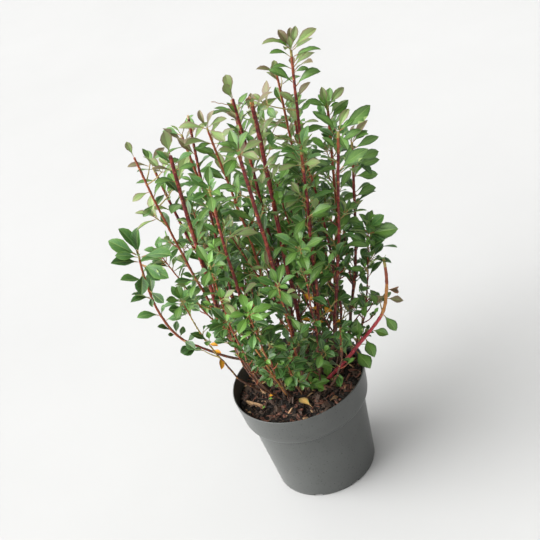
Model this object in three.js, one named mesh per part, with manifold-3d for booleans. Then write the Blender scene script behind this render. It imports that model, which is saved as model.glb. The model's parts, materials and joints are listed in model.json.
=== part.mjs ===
// Potted enkianthus: a clump of slim red canes with whorls of small leaves, in a grey nursery pot.
// Millimetres, +Z up. The origin is the middle of the pot's underside, +Y runs to the back.
import * as THREE from 'three';
import { mergeVertices } from 'three/addons/utils/BufferGeometryUtils.js';
import Module from 'manifold-3d';

const wasm = await Module();
wasm.setup();

// Driving dimensions of the pot: a thin moulded cone with a wide band under its rim.
const POT_HEIGHT = 165;
const RIM_RADIUS = 95;
const BAND_HEIGHT = 44;
const BAND_FOOT_RADIUS = 90.5;
const BODY_TOP_RADIUS = 83;
const BASE_RADIUS = 72.5;
const WALL = 1.6;
const FLOOR = 2;
const BAND_STEP = 3;
const POT_FACETS = 40;
const DRAIN_SLOTS = 8;
const DRAIN_SIZE = new THREE.Vector3(9, 12, 7);

// The potting mix fills the pot to just under the rim.
const SOIL_TOP = 147;
const SOIL_SHOULDER = 78;
const SOIL_EDGE_DROP = 3;
const FIT_GAP = 0.4;

// The clump: canes leave the soil close together, spread low down and then run up to their tips.
const CLUMP_MIDDLE = new THREE.Vector2(2, 22);
const FOOT_SHARE = 0.5;
const KNEE_RISE = 0.2;
const JOINT_GAP = 0.3;
const FOOT_SUNK = 8;
const FOOT_FLARE = 0.5;
const CANE_SIDES = 5;
const CANE_RINGS = 6;
const BARE_SHARE = 0.36;
const TIP_GIRTH = 1.8;
const STOUT = 3.3;
const MIDDLING = 2.6;
const SLIM = 2.0;

// Each cane: its girth at the foot (radius), the leaves in its top whorl, its knee and its tip.
const CANES = [
  { name: 'far_left', girth: SLIM, top: 2, knee: [-84, 34], tip: [-100, 0, 562] },
  { name: 'left', girth: STOUT, top: 3, knee: [-88, 6], tip: [-56, -50, 572] },
  { name: 'left_inner', girth: MIDDLING, top: 2, knee: [-68, 50], tip: [-22, 20, 582] },
  { name: 'left_front', girth: MIDDLING, top: 4, knee: [-50, -16], tip: [-26, -70, 523] },
  { name: 'middle_left', girth: MIDDLING, top: 3, knee: [4, 6], tip: [-5, -30, 581] },
  { name: 'front', girth: STOUT, top: 4, knee: [12, -24], tip: [20, -75, 560] },
  { name: 'middle_back', girth: MIDDLING, top: 4, knee: [22, 46], tip: [37, 50, 570] },
  { name: 'middle', girth: STOUT, top: 5, knee: [26, 2], tip: [54, -40, 598] },
  { name: 'right_inner', girth: SLIM, top: 4, knee: [74, 46], tip: [97, 30, 592] },
  { name: 'tall', girth: MIDDLING, top: 6, knee: [56, 22], tip: [119, 0, 627] },
  { name: 'right_rear', girth: MIDDLING, top: 6, knee: [104, 70], tip: [149, 60, 511] },
  { name: 'right_front', girth: STOUT, top: 5, knee: [76, -8], tip: [141, -50, 530] },
  { name: 'far_right', girth: MIDDLING, top: 6, knee: [116, 28], tip: [161, 10, 479] },
  { name: 'right', girth: SLIM, top: 4, knee: [100, 6], tip: [97, -20, 493] },
  { name: 'front_right', girth: MIDDLING, top: 5, knee: [50, -18], tip: [93, -45, 523] },
  { name: 'back_right', girth: MIDDLING, top: 5, knee: [66, 84], tip: [110, 105, 500] },
  { name: 'back', girth: STOUT, top: 5, knee: [18, 96], tip: [38, 128, 535] },
  { name: 'back_left', girth: MIDDLING, top: 5, knee: [-34, 84], tip: [-40, 110, 520] },
  { name: 'rear_left', girth: MIDDLING, top: 5, knee: [-66, 74], tip: [-88, 75, 505] },
];

// Two side branches leave the clump low down, lie out sideways and turn up at an elbow.
const ARCHES = [
  { name: 'left', from: 'far_left', at: 0.25, girth: 2.2, elbow: [-124, 34, 252], tip: [-143, 20, 419] },
  { name: 'right', foot: [22, -8], girth: 2.6, elbow: [128, -16, 222], tip: [157, -20, 315] },
];
const ARCH_LEAVES_AT = 0.3;
const ARCH_SAG = 9;
const ARCH_SEAT = 1.4;
const ARCH_RINGS = 5;
const ARCH_TOP = 6;

// Low leafy shoots that hide the foot of the clump: each is one mass with its own short stem.
const SHOOTS = [
  { name: 'front', knee: [6, -52], tip: [13, -95, 380] },
  { name: 'front_right', knee: [38, -50], tip: [54, -82, 413] },
  { name: 'front_left', knee: [-30, -48], tip: [-33, -88, 351] },
  { name: 'left', knee: [-70, -26], tip: [-58, -54, 414] },
  { name: 'far_left', knee: [-96, 8], tip: [-112, 4, 342] },
  { name: 'right', knee: [116, -6], tip: [150, -6, 365] },
  { name: 'low_right', knee: [60, -52], tip: [72, -66, 268] },
  { name: 'low_left', knee: [-72, -14], tip: [-66, -22, 306] },
  { name: 'low_front', knee: [-4, -44], tip: [-8, -66, 240] },
  { name: 'back_right', knee: [84, 82], tip: [132, 116, 352] },
  { name: 'back', knee: [40, 108], tip: [58, 158, 360] },
  { name: 'back_left', knee: [-26, 102], tip: [-56, 148, 350] },
  { name: 'rear_left', knee: [-78, 76], tip: [-122, 84, 372] },
];
const SHOOT_GIRTH = 2.2;
const SHOOT_TOP = 6;

// Leaves: obovate blades, in a spiral up each stem and a whorl at its tip.
const LEAF_LENGTH = 37;
const LEAF_WIDTH = 18;
const LEAF_KEEL = 1.1;
const LEAF_WIDEST = 0.6;
const LEAF_CUP = 0.12;
const LEAF_DROOP = 0.12;
const LEAF_SUNK = 0.5;
const LEAF_SPACING = 31;
const WHORL_STEP = 1.9;
const LEAF_SIZES = [1, 0.8];
const GOLDEN_ANGLE = THREE.MathUtils.degToRad(137.5);
const LOW_LEAF_ANGLE = THREE.MathUtils.degToRad(66);
const TOP_LEAF_ANGLE = THREE.MathUtils.degToRad(48);
const WHORL_ANGLE = THREE.MathUtils.degToRad(58);
const CANE_TOP_ANGLE = THREE.MathUtils.degToRad(40);
const TWIG_SPACING = 84;
const TWIG_LENGTH = 36;
const TWIG_GIRTH = 1.5;
const TWIG_TIP_GIRTH = 1.2;
const TWIG_ANGLE = THREE.MathUtils.degToRad(42);
const TWIG_SIDES = 3;
const TWIG_LEAVES = 3;
const CLEARANCE = 0.5;

const MATERIALS = {
  pot: new THREE.MeshStandardMaterial({ color: 0x6b6d6c, roughness: 0.62, metalness: 0 }),
  soil: new THREE.MeshStandardMaterial({ color: 0x35271f, roughness: 0.95, metalness: 0 }),
  bark: new THREE.MeshStandardMaterial({ color: 0x76202c, roughness: 0.55, metalness: 0 }),
  leaf: new THREE.MeshStandardMaterial({ color: 0x4c7a3a, roughness: 0.45, metalness: 0 }),
};

// Solids and meshes

function solidFrom(geometry) {
  const bare = geometry.clone();
  bare.deleteAttribute('normal');
  bare.deleteAttribute('uv');
  const merged = mergeVertices(bare, 1e-4);
  return new wasm.Manifold(new wasm.Mesh({
    numProp: 3,
    vertProperties: new Float32Array(merged.attributes.position.array),
    triVerts: new Uint32Array(merged.index.array),
  }));
}

// The largest body of a solid: a sealed hollow is filled and a loose scrap is dropped.
function mainBody(solid) {
  return solid.decompose().reduce((best, body) => (body.volume() > best.volume() ? body : best));
}

function meshFrom(solid, name, material) {
  const made = solid.getMesh();
  const geometry = new THREE.BufferGeometry();
  geometry.setAttribute('position', new THREE.BufferAttribute(made.vertProperties, 3));
  geometry.setIndex(new THREE.BufferAttribute(made.triVerts, 1));
  geometry.computeVertexNormals();
  const mesh = new THREE.Mesh(geometry, material);
  mesh.name = name;
  return mesh;
}

// A turned piece: the profile runs in (radius, height) and starts and ends on the axis.
function turned(profile) {
  const points = profile.map(([radius, height]) => new THREE.Vector2(radius, height));
  return new THREE.LatheGeometry(points, POT_FACETS).rotateX(Math.PI / 2);
}

// Pot and potting mix

function bandFootHeight() {
  return POT_HEIGHT - BAND_HEIGHT;
}

function innerBandRadius(height) {
  const share = (height - bandFootHeight()) / BAND_HEIGHT;
  return THREE.MathUtils.lerp(BAND_FOOT_RADIUS, RIM_RADIUS, share) - WALL;
}

function potSolid() {
  const foot = bandFootHeight();
  const shell = solidFrom(turned([
    [0, 0],
    [BASE_RADIUS - FLOOR, 0],
    [BASE_RADIUS, FLOOR],
    [BODY_TOP_RADIUS, foot - BAND_STEP],
    [BAND_FOOT_RADIUS, foot],
    [RIM_RADIUS, POT_HEIGHT],
    [RIM_RADIUS - WALL, POT_HEIGHT],
    [BAND_FOOT_RADIUS - WALL, foot + WALL],
    [BODY_TOP_RADIUS - WALL, foot - BAND_STEP + WALL],
    [BASE_RADIUS - WALL, FLOOR],
    [0, FLOOR],
  ]));
  const slots = Array.from({ length: DRAIN_SLOTS }, (_, i) => {
    const slot = new THREE.BoxGeometry(DRAIN_SIZE.x, DRAIN_SIZE.y, DRAIN_SIZE.z);
    slot.translate(BASE_RADIUS, 0, 0);
    return solidFrom(slot.rotateZ((2 * Math.PI * (i + 0.5)) / DRAIN_SLOTS));
  });
  return shell.subtract(wasm.Manifold.union(slots));
}

function soilSolid() {
  const foot = bandFootHeight();
  const edge = SOIL_TOP - SOIL_EDGE_DROP;
  return solidFrom(turned([
    [0, FLOOR + FIT_GAP],
    [BASE_RADIUS - WALL - FIT_GAP, FLOOR + FIT_GAP],
    [BODY_TOP_RADIUS - WALL - FIT_GAP, foot - BAND_STEP + WALL],
    [BAND_FOOT_RADIUS - WALL - FIT_GAP, foot + WALL + FIT_GAP],
    [innerBandRadius(edge) - FIT_GAP, edge],
    [SOIL_SHOULDER, SOIL_TOP],
    [0, SOIL_TOP],
  ]));
}

// Everything below the top of the soil, which cuts each stem flat at ground level.
function belowGround() {
  const size = 4 * RIM_RADIUS;
  const block = new THREE.BoxGeometry(size, size, size);
  return solidFrom(block.translate(0, 0, SOIL_TOP + JOINT_GAP - size / 2));
}

// Limbs

// A frame square to the curve: across, along and the third direction, with no twist between rings.
function frameAt(curve, t) {
  const along = curve.getTangent(t);
  const across = new THREE.Vector3(1, 0, 0).addScaledVector(along, -along.x).normalize();
  return { point: curve.getPoint(t), along, across, third: across.clone().cross(along) };
}

// A tapering limb from t0 to t1 on a curve: a cylinder whose rings are moved on to the curve.
function limbSolid({ curve, t0, t1, girth0, girth1, sides, rings, flare = 0 }) {
  const geometry = new THREE.CylinderGeometry(1, 1, 1, sides, rings);
  const place = geometry.attributes.position;
  for (let i = 0; i < place.count; i += 1) {
    const share = place.getY(i) + 0.5;
    const { point, across, third } = frameAt(curve, THREE.MathUtils.lerp(t0, t1, share));
    const girth = THREE.MathUtils.lerp(girth0, girth1, share) * (1 + flare * (1 - share) ** rings);
    point.addScaledVector(across, place.getX(i) * girth).addScaledVector(third, place.getZ(i) * girth);
    place.setXYZ(i, point.x, point.y, point.z);
  }
  return solidFrom(geometry);
}

// The line a cane or shoot follows: from its foot in the clump, out to its knee and up to its tip.
function stemCurve({ knee, tip }) {
  const kneePlan = new THREE.Vector2(...knee);
  const footPlan = CLUMP_MIDDLE.clone().lerp(kneePlan, FOOT_SHARE);
  const kneeHeight = THREE.MathUtils.lerp(SOIL_TOP, tip[2], KNEE_RISE);
  return new THREE.QuadraticBezierCurve3(
    new THREE.Vector3(footPlan.x, footPlan.y, SOIL_TOP - FOOT_SUNK),
    new THREE.Vector3(kneePlan.x, kneePlan.y, kneeHeight),
    new THREE.Vector3(...tip),
  );
}

// How far along a curve the joint gap reaches, as a share of it.
function gapShare(curve) {
  return JOINT_GAP / curve.getLength();
}

// A sagging first stretch and an upturned second one, each a curve of its own.
function archCurves({ from, at, foot, girth, elbow, tip }) {
  const bend = new THREE.Vector3(...elbow);
  const top = new THREE.Vector3(...tip);
  let root;
  if (from) {
    const parent = CANES.find((cane) => cane.name === from);
    const middle = stemCurve(parent).getPoint(at);
    const outward = bend.clone().sub(middle).normalize();
    root = middle.addScaledVector(outward, parent.girth + ARCH_SEAT * girth + JOINT_GAP);
  } else {
    root = new THREE.Vector3(...foot, SOIL_TOP - FOOT_SUNK);
  }
  const sagging = root.clone().lerp(bend, 0.5).setZ((root.z + bend.z) / 2 - ARCH_SAG);
  const lower = new THREE.QuadraticBezierCurve3(root, sagging, bend);
  const start = bend.clone().addScaledVector(lower.getTangent(1), JOINT_GAP);
  const rising = start.clone().addScaledVector(lower.getTangent(1), 0.35 * start.distanceTo(top));
  return { lower, upper: new THREE.QuadraticBezierCurve3(start, rising, top) };
}

// Room: what has grown takes its space, and what grows later keeps clear of all but its own stem.

const grown = [];

function takeSpace(owner, solid) {
  grown.push({ owner, solid, box: solid.boundingBox() });
  return solid;
}

function boxesNear(a, b) {
  return a.min.every((low, i) => low - CLEARANCE < b.max[i] && b.min[i] - CLEARANCE < a.max[i]);
}

function hasRoom(owner, solid) {
  const box = solid.boundingBox();
  if (box.min[2] < POT_HEIGHT + CLEARANCE) return false;
  return grown.every((other) => other.owner === owner || !boxesNear(box, other.box)
    || solid.minGap(other.solid, CLEARANCE) >= CLEARANCE);
}

// Foliage

// Repeatable dice, so that each build grows the same plant.
function seededDice(seed) {
  let state = seed >>> 0;
  return () => {
    state = (state + 0x6d2b79f5) >>> 0;
    let mixed = Math.imul(state ^ (state >>> 15), 1 | state);
    mixed = (mixed + Math.imul(mixed ^ (mixed >>> 7), 61 | mixed)) ^ mixed;
    return ((mixed ^ (mixed >>> 14)) >>> 0) / 4294967296;
  };
}

// One leaf of six faces, from its sunk root along its direction: flat on top, with a keel below,
// its edges raised and its tip drooping.
function leafGeometry(root, direction, size) {
  const side = new THREE.Vector3(0, 0, 1).cross(direction).normalize();
  const face = direction.clone().cross(side);
  const length = LEAF_LENGTH * size;
  const geometry = new THREE.SphereGeometry(1, 3, 2);
  const place = geometry.attributes.position;
  for (let i = 0; i < place.count; i += 1) {
    const edge = -Math.sign(Math.round(2 * place.getZ(i)));
    const keel = Math.max(0, -Math.round(place.getX(i)));
    const share = edge || keel ? LEAF_WIDEST : 0.5 - 0.5 * place.getY(i);
    const lift = (edge ? LEAF_CUP * LEAF_WIDTH * size : 0) - keel * LEAF_KEEL;
    const point = root.clone()
      .addScaledVector(direction, length * share - LEAF_SUNK)
      .addScaledVector(side, edge * LEAF_WIDTH * size * 0.5)
      .addScaledVector(face, lift - LEAF_DROOP * length * share ** 2);
    place.setXYZ(i, point.x, point.y, point.z);
  }
  return geometry;
}

// A direction that leaves a stem at an angle, turned round it.
function leaving({ along, across, third }, angle, turn) {
  const outward = across.clone().multiplyScalar(Math.cos(turn)).addScaledVector(third, Math.sin(turn));
  return along.clone().multiplyScalar(Math.cos(angle)).addScaledVector(outward, Math.sin(angle));
}

// A leaf on a stem, as large as its room allows, or nothing where there is none.
function leafSolids(frame, angle, turn, owner) {
  const direction = leaving(frame, angle, turn);
  for (const size of LEAF_SIZES) {
    const leaf = solidFrom(leafGeometry(frame.point, direction, size));
    if (hasRoom(owner, leaf)) return [takeSpace(owner, leaf)];
  }
  return [];
}

// A whorl is a tight spiral: its leaves step down from the tip so that their roots stay apart.
function whorlSolids(curve, turn, count, owner, angle = WHORL_ANGLE) {
  return Array.from({ length: count }, (_, i) => {
    const frame = frameAt(curve, 1);
    frame.point.addScaledVector(frame.along, -LEAF_SUNK - i * WHORL_STEP);
    return leafSolids(frame, angle, turn + GOLDEN_ANGLE * i, owner);
  }).flat();
}

function twigSolids(frame, turn, owner) {
  const end = frame.point.clone().addScaledVector(leaving(frame, TWIG_ANGLE, turn), TWIG_LENGTH);
  const curve = new THREE.LineCurve3(frame.point.clone(), end);
  const twig = limbSolid({
    curve, t0: 0, t1: 1, girth0: TWIG_GIRTH, girth1: TWIG_TIP_GIRTH, sides: TWIG_SIDES, rings: 1,
  });
  if (!hasRoom(owner, twig)) return [];
  return [takeSpace(owner, twig), ...whorlSolids(curve, turn, TWIG_LEAVES, owner)];
}

// One mass of foliage: its stem, with spiral leaves, side twigs and a whorl at the tip.
function massSolid({ stem, curve, t0, owner, seed, leavesFrom, top, topAngle }) {
  const dice = seededDice(seed);
  const length = curve.getLength() * (1 - t0);
  const pieces = [stem];
  let turn = 2 * Math.PI * dice();
  const leafCount = Math.floor((length * (1 - leavesFrom)) / LEAF_SPACING);
  for (let i = 0; i < leafCount; i += 1) {
    const share = leavesFrom + ((1 - leavesFrom) * (i + 0.5 * dice())) / leafCount;
    const frame = frameAt(curve, THREE.MathUtils.lerp(t0, 1, share));
    const angle = THREE.MathUtils.lerp(LOW_LEAF_ANGLE, TOP_LEAF_ANGLE, share);
    pieces.push(...leafSolids(frame, angle, turn, owner));
    turn += GOLDEN_ANGLE;
  }
  const twigCount = Math.floor((length * (1 - leavesFrom)) / TWIG_SPACING);
  for (let i = 0; i < twigCount; i += 1) {
    const share = leavesFrom + (0.9 * (1 - leavesFrom) * (i + 0.4 + 0.2 * dice())) / twigCount;
    pieces.push(...twigSolids(frameAt(curve, THREE.MathUtils.lerp(t0, 1, share)), turn, owner));
    turn += GOLDEN_ANGLE;
  }
  pieces.push(...whorlSolids(curve, turn, top, owner, topAngle));
  return wasm.Manifold.union(pieces);
}

// The plant: every limb and stem takes its space first, then each mass grows in the room left.

const limbs = [];
const masses = [];

CANES.forEach((cane, i) => {
  const curve = stemCurve(cane);
  const owner = `foliage_${cane.name}`;
  const endGirth = THREE.MathUtils.lerp(cane.girth, TIP_GIRTH, BARE_SHARE);
  const start = BARE_SHARE + gapShare(curve);
  limbs.push({
    name: `cane_${cane.name}`, grounded: true,
    shape: { curve, t0: 0, t1: BARE_SHARE, girth0: cane.girth, girth1: endGirth, flare: FOOT_FLARE,
      sides: CANE_SIDES, rings: CANE_RINGS },
  });
  masses.push({
    curve, t0: start, girth: endGirth, owner, seed: i + 1, leavesFrom: 0.06,
    top: cane.top, topAngle: CANE_TOP_ANGLE,
  });
});

ARCHES.forEach((arch, i) => {
  const { lower, upper } = archCurves(arch);
  const owner = `foliage_arch_${arch.name}`;
  const elbowGirth = THREE.MathUtils.lerp(arch.girth, TIP_GIRTH, 0.5);
  const endGirth = THREE.MathUtils.lerp(elbowGirth, TIP_GIRTH, ARCH_LEAVES_AT);
  const shape = { sides: CANE_SIDES, rings: ARCH_RINGS };
  limbs.push({
    name: `arch_${arch.name}_lower`, grounded: !arch.from,
    shape: { ...shape, curve: lower, t0: 0, t1: 1, girth0: arch.girth, girth1: elbowGirth },
  });
  limbs.push({
    name: `arch_${arch.name}_upper`,
    shape: { ...shape, curve: upper, t0: 0, t1: ARCH_LEAVES_AT, girth0: elbowGirth, girth1: endGirth },
  });
  masses.push({
    curve: upper, t0: ARCH_LEAVES_AT + gapShare(upper), girth: endGirth, owner,
    seed: 101 + i, leavesFrom: 0.06, top: ARCH_TOP,
  });
});

SHOOTS.forEach((shoot, i) => {
  masses.push({
    curve: stemCurve(shoot), t0: 0, girth: SHOOT_GIRTH, owner: `foliage_low_${shoot.name}`,
    seed: 201 + i, leavesFrom: 0.22, top: SHOOT_TOP, grounded: true,
  });
});

const ground = belowGround();
const overGround = (solid, grounded) => mainBody(grounded ? solid.subtract(ground) : solid);

limbs.forEach((limb) => {
  limb.solid = takeSpace(limb.name, overGround(limbSolid(limb.shape), limb.grounded));
});
masses.forEach((mass) => {
  mass.stem = takeSpace(mass.owner, overGround(limbSolid({
    curve: mass.curve, t0: mass.t0, t1: 1, girth0: mass.girth, girth1: TIP_GIRTH,
    sides: TWIG_SIDES, rings: CANE_RINGS,
  }), mass.grounded));
});

const wood = new THREE.Group();
limbs.forEach(({ name, solid }) => wood.add(meshFrom(solid, name, MATERIALS.bark)));

const foliage = new THREE.Group();
masses.forEach((mass) =>
  foliage.add(meshFrom(mainBody(massSolid(mass)), mass.owner, MATERIALS.leaf)));

const pottedShrub = new THREE.Group();
pottedShrub.add(
  meshFrom(potSolid(), 'pot', MATERIALS.pot),
  meshFrom(soilSolid(), 'soil', MATERIALS.soil),
  wood,
  foliage,
);

export default pottedShrub;
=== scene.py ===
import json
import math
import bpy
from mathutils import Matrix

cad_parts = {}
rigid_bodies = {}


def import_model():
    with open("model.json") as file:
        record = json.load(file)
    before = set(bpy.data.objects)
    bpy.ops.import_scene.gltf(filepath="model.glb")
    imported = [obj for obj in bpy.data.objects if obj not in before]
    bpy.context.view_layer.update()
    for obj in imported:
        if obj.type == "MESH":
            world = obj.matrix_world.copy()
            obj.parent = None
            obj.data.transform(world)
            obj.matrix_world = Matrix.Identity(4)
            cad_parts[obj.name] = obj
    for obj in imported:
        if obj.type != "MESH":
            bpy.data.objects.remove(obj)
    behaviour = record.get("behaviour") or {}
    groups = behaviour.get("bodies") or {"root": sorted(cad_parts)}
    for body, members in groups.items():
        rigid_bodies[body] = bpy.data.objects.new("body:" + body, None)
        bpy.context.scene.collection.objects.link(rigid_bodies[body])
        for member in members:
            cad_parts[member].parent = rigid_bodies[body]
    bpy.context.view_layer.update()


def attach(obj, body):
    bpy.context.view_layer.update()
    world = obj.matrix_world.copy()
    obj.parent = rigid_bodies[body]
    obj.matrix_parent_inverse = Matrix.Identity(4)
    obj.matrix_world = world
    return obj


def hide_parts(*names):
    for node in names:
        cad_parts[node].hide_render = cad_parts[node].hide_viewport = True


bl_info = {
    "name": "Potted Enkianthus",
    "version": (1, 0, 0),
    "blender": (4, 5, 0),
    "location": "View3D > Sidebar > Shrub",
    "description": "A clump of crimson canes with whorled leaves, in a grey nursery pot",
    "category": "Add Mesh",
}

from typing import NamedTuple

import bpy
import numpy as np
from mathutils import Matrix, Vector
from mathutils.bvhtree import BVHTree
from mathutils.kdtree import KDTree

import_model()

MM = 0.001
FULL_TURN = 2 * math.pi
GOLDEN_ANGLE = math.radians(137.508)
UP = np.array([0.0, 0.0, 1.0])

# The clump's sizes in millimetres, as the solids have them.
POT_HEIGHT = 165
SOIL_TOP = 147
FOOT_SUNK = 8
CLUMP_MIDDLE = np.array([2.0, 22.0])

# The growth, the chips, the bark and the litter are each dealt out with dice of their own.
GROWTH_SEED, CHIP_SEED, BARK_SEED, LITTER_SEED = 40, 5, 8, 11

# A stem's foot lies this share of the way out to its knee, and the knee this share of the way up to its tip.
# Its line has a point about every step.
FOOT_SHARE = 0.5
KNEE_RISE = 0.2
LINE_STEP = 2.5

# How much stems waver to either side, in how many waves, and how a foot is flared and how fast that fades.
CANE_SWAY, SHOOT_SWAY, ARCH_SWAY = 2.4, 2.0, 1.5
SWAY_WAVES = (2.3, 4.1, 7.7)
FLARE, FLARE_FADE = 0.6, 30

# Where thin side branches leave their cane and how long they are, from least to most, as shares of the cane.
LATERAL_STARTS = (0.2, 0.42)
LATERAL_SPANS = (0.26, 0.4)

# Half the thickness of the limbs at their feet and at their tips, and of a twig from its foot to its tip.
STOUT, MIDDLING, SLIM = 2.8, 2.3, 1.8
SHOOT, LATERAL = 1.6, 1.2
FINE_TIP = 0.8
TWIG = (0.95, 0.6)

# How much of its foot's thickness a cane keeps up to its end: pruned canes hardly taper.
KEPT_THICKNESS = {"cut": 0.9, "withered": 0.9, "leaf": 0.78, "whorl": 0.73}


class Cane(NamedTuple):
    """A cane: leaves at its top, how leafy its body and its upper third are, its bark and how it ends."""
    name: str
    radius: float
    top: int
    leafy: float
    upper: float
    bark: str
    end: str
    knee: tuple
    tip: tuple


CANES = [Cane(*row) for row in (
    ("far_left", SLIM, 1, 0.5, 0.15, "russet", "leaf", (-84, 34), (-100, 0, 562)),
    ("left", STOUT, 1, 1.2, 0.8, "crimson", "leaf", (-88, 6), (-56, -50, 572)),
    ("left_inner", SLIM, 0, 0.9, 0.3, "crimson", "cut", (-68, 50), (-22, 20, 582)),
    ("left_front", MIDDLING, 8, 1.0, 1.0, "crimson", "whorl", (-50, -16), (-26, -70, 523)),
    ("middle_left", SLIM, 4, 1.15, 0.8, "russet", "whorl", (4, 6), (-5, -30, 581)),
    ("front", STOUT, 8, 0.9, 0.9, "crimson", "whorl", (12, -24), (20, -75, 560)),
    ("middle_back", MIDDLING, 2, 1.2, 0.8, "crimson", "leaf", (22, 46), (37, 50, 570)),
    ("middle", STOUT, 3, 1.0, 1.3, "crimson", "withered", (26, 2), (54, -40, 598)),
    ("right_inner", SLIM, 2, 1.1, 0.9, "russet", "leaf", (74, 46), (97, 30, 592)),
    ("tall", MIDDLING, 3, 1.1, 0.5, "crimson", "whorl", (56, 22), (119, 0, 627)),
    ("right_rear", MIDDLING, 4, 1.15, 0.9, "russet", "whorl", (104, 70), (149, 60, 511)),
    ("right_front", MIDDLING, 4, 1.0, 0.9, "crimson", "whorl", (76, -8), (141, -50, 530)),
    ("far_right", MIDDLING, 4, 1.15, 0.9, "crimson", "whorl", (116, 28), (161, 10, 479)),
    ("right", SLIM, 8, 1.15, 1.1, "crimson", "whorl", (100, 6), (97, -20, 493)),
    ("front_right", MIDDLING, 8, 1.15, 1.2, "crimson", "whorl", (50, -18), (93, -45, 523)),
    ("back_right", MIDDLING, 7, 1.15, 1.0, "crimson", "whorl", (66, 84), (110, 105, 500)),
    ("back", STOUT, 0, 1.15, 0.6, "crimson", "cut", (18, 96), (38, 128, 535)),
    ("back_left", MIDDLING, 3, 1.15, 0.7, "russet", "whorl", (-34, 84), (-40, 110, 520)),
    ("rear_left", MIDDLING, 3, 1.15, 0.3, "crimson", "whorl", (-66, 74), (-88, 75, 505)),
)]

# How large the leaves at the end of a cane are, to the full-grown size.
TOP_SIZES = {"far_left": 0.8, "left": 1.2, "right_inner": 0.6}
WHORL_SIZE = 0.88

# Canes that end above the first height bear olive whorls. Those that end behind the second line are leafy
# all round.
OLIVE_TOPS = 525
REAR_TOPS = 60

# Two side branches that lie out sideways, sag a little and turn up at an elbow.
ARCH_SAG = 9
ARCH_RISE = 0.35
ARCH_POINTS = 50
LEFT_ARCH = {
    "radius": 2.0, "elbow": (-124, 34, 252), "tip": (-143, 20, 419), "parent": "far_left", "at": 0.25,
}
RIGHT_ARCH = {"radius": 2.7, "elbow": (128, -16, 222), "tip": (157, -20, 315), "foot": (22, -8)}


class Shoot(NamedTuple):
    """A low leafy shoot that hides the foot of the clump."""
    name: str
    leafy: float
    top_size: float
    rosette: str
    bark: str
    knee: tuple
    tip: tuple


SHOOTS = [Shoot(*row) for row in (
    ("front", 0.9, 0.85, "mid", "russet", (6, -52), (13, -95, 380)),
    ("front_right", 0.9, 0.95, "mid", "crimson", (38, -50), (54, -82, 413)),
    ("front_left", 1.2, 0.75, "young", "russet", (-30, -48), (-33, -88, 351)),
    ("left", 1.1, 0.85, "mid", "russet", (-70, -26), (-58, -54, 414)),
    ("far_left", 0.8, 0.8, "mid", "green", (-96, 8), (-112, 4, 342)),
    ("right", 1.2, 0.75, "mid", "crimson", (116, -6), (150, -6, 365)),
    ("low_right", 0.5, 0.6, "deep", "russet", (60, -52), (72, -66, 268)),
    ("low_left", 0.9, 0.6, "mid", "russet", (-72, -14), (-66, -22, 306)),
    ("low_front", 1.1, 0.65, "deep", "russet", (-4, -44), (-8, -66, 240)),
    ("back_right", 1.25, 0.95, "mid", "russet", (84, 82), (132, 116, 352)),
    ("back", 1.25, 0.95, "jade", "russet", (40, 108), (58, 158, 360)),
    ("back_left", 1.25, 0.95, "mid", "russet", (-26, 102), (-56, 148, 350)),
    ("rear_left", 1.1, 0.95, "jade", "russet", (-78, 76), (-122, 84, 372)),
)]

# No leaf hangs between the front of the mix and the eye: the lowest leaf over the front of the pot, by x,
# and how fast that line drops towards the back.
FRONT_LINE_X = (-140, -110, -61, -43, -19, 24, 48, 98, 150)
FRONT_LINE_Z = (270, 315, 262, 208, 186, 165, 172, 218, 205)
FRONT_LINE_Y = -60
FRONT_LINE_DROP = 0.74

# The side that the light comes from: the canes are barest there, and whorls and single leaves turn to it.
BARE_SIDE = np.array([0.0, -0.85, 0.53])

# Where the eye stands, how its picture lies and how far off the clump is.
EYE = np.array([0.0, -1260.5, 1150.5])
VIEW_RIGHT = np.array([0.9443, -0.1831, -0.2735])
VIEW_UP = np.array([0.3290, 0.5061, 0.7972])
VIEW_AHEAD = np.cross(VIEW_UP, VIEW_RIGHT)
VIEW_DISTANCE = 1600

# The gaps in the crown that the eye sees the sky through: x and z over the middle of the pot, and half the
# width. The windows are open only up to their depth past the middle, so that yellow leaves show in them.
SKY_GAPS = [
    (-110, 307, 15), (-86, 307, 7), (-113, 394, 13), (-81, 382, 7), (-83, 252, 8), (-88, 444, 6),
    (-92, 490, 5), (-86, 517, 6), (-87, 541, 5), (-17, 557, 6), (11, 558, 6), (40, 499, 4),
    (80, 529, 7), (86, 568, 5), (104, 595, 7), (116, 541, 6), (122, 516, 7),
    (123, 481, 6), (124, 319, 5), (145, 275, 13), (107, 276, 9), (126, 259, 5), (67, 226, 6),
]
WINDOWS = [
    (47, 294, 8), (50, 268, 9), (72, 254, 10), (60, 240, 10), (38, 252, 8), (76, 234, 7), (-93, 240, 14),
]
WINDOW_DEPTH = -6

# Canes that stay in sight above a share of their length, and an arch from end to end. Of the leaves that
# would hang closer than the width to their middle lines, and nearer to the eye by the lead, this share isn't
# grown.
SEEN_CANES = ("far_left", "left", "left_inner", "middle_left", "front", "middle", "tall", "right_front",
              "right_rear", "arch_right", "middle_back")
SEEN_FROM = 0.42
SEEN_WIDTH = 3.4
SEEN_LEAD = 3
SEEN_SHARE = 0.8

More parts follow.
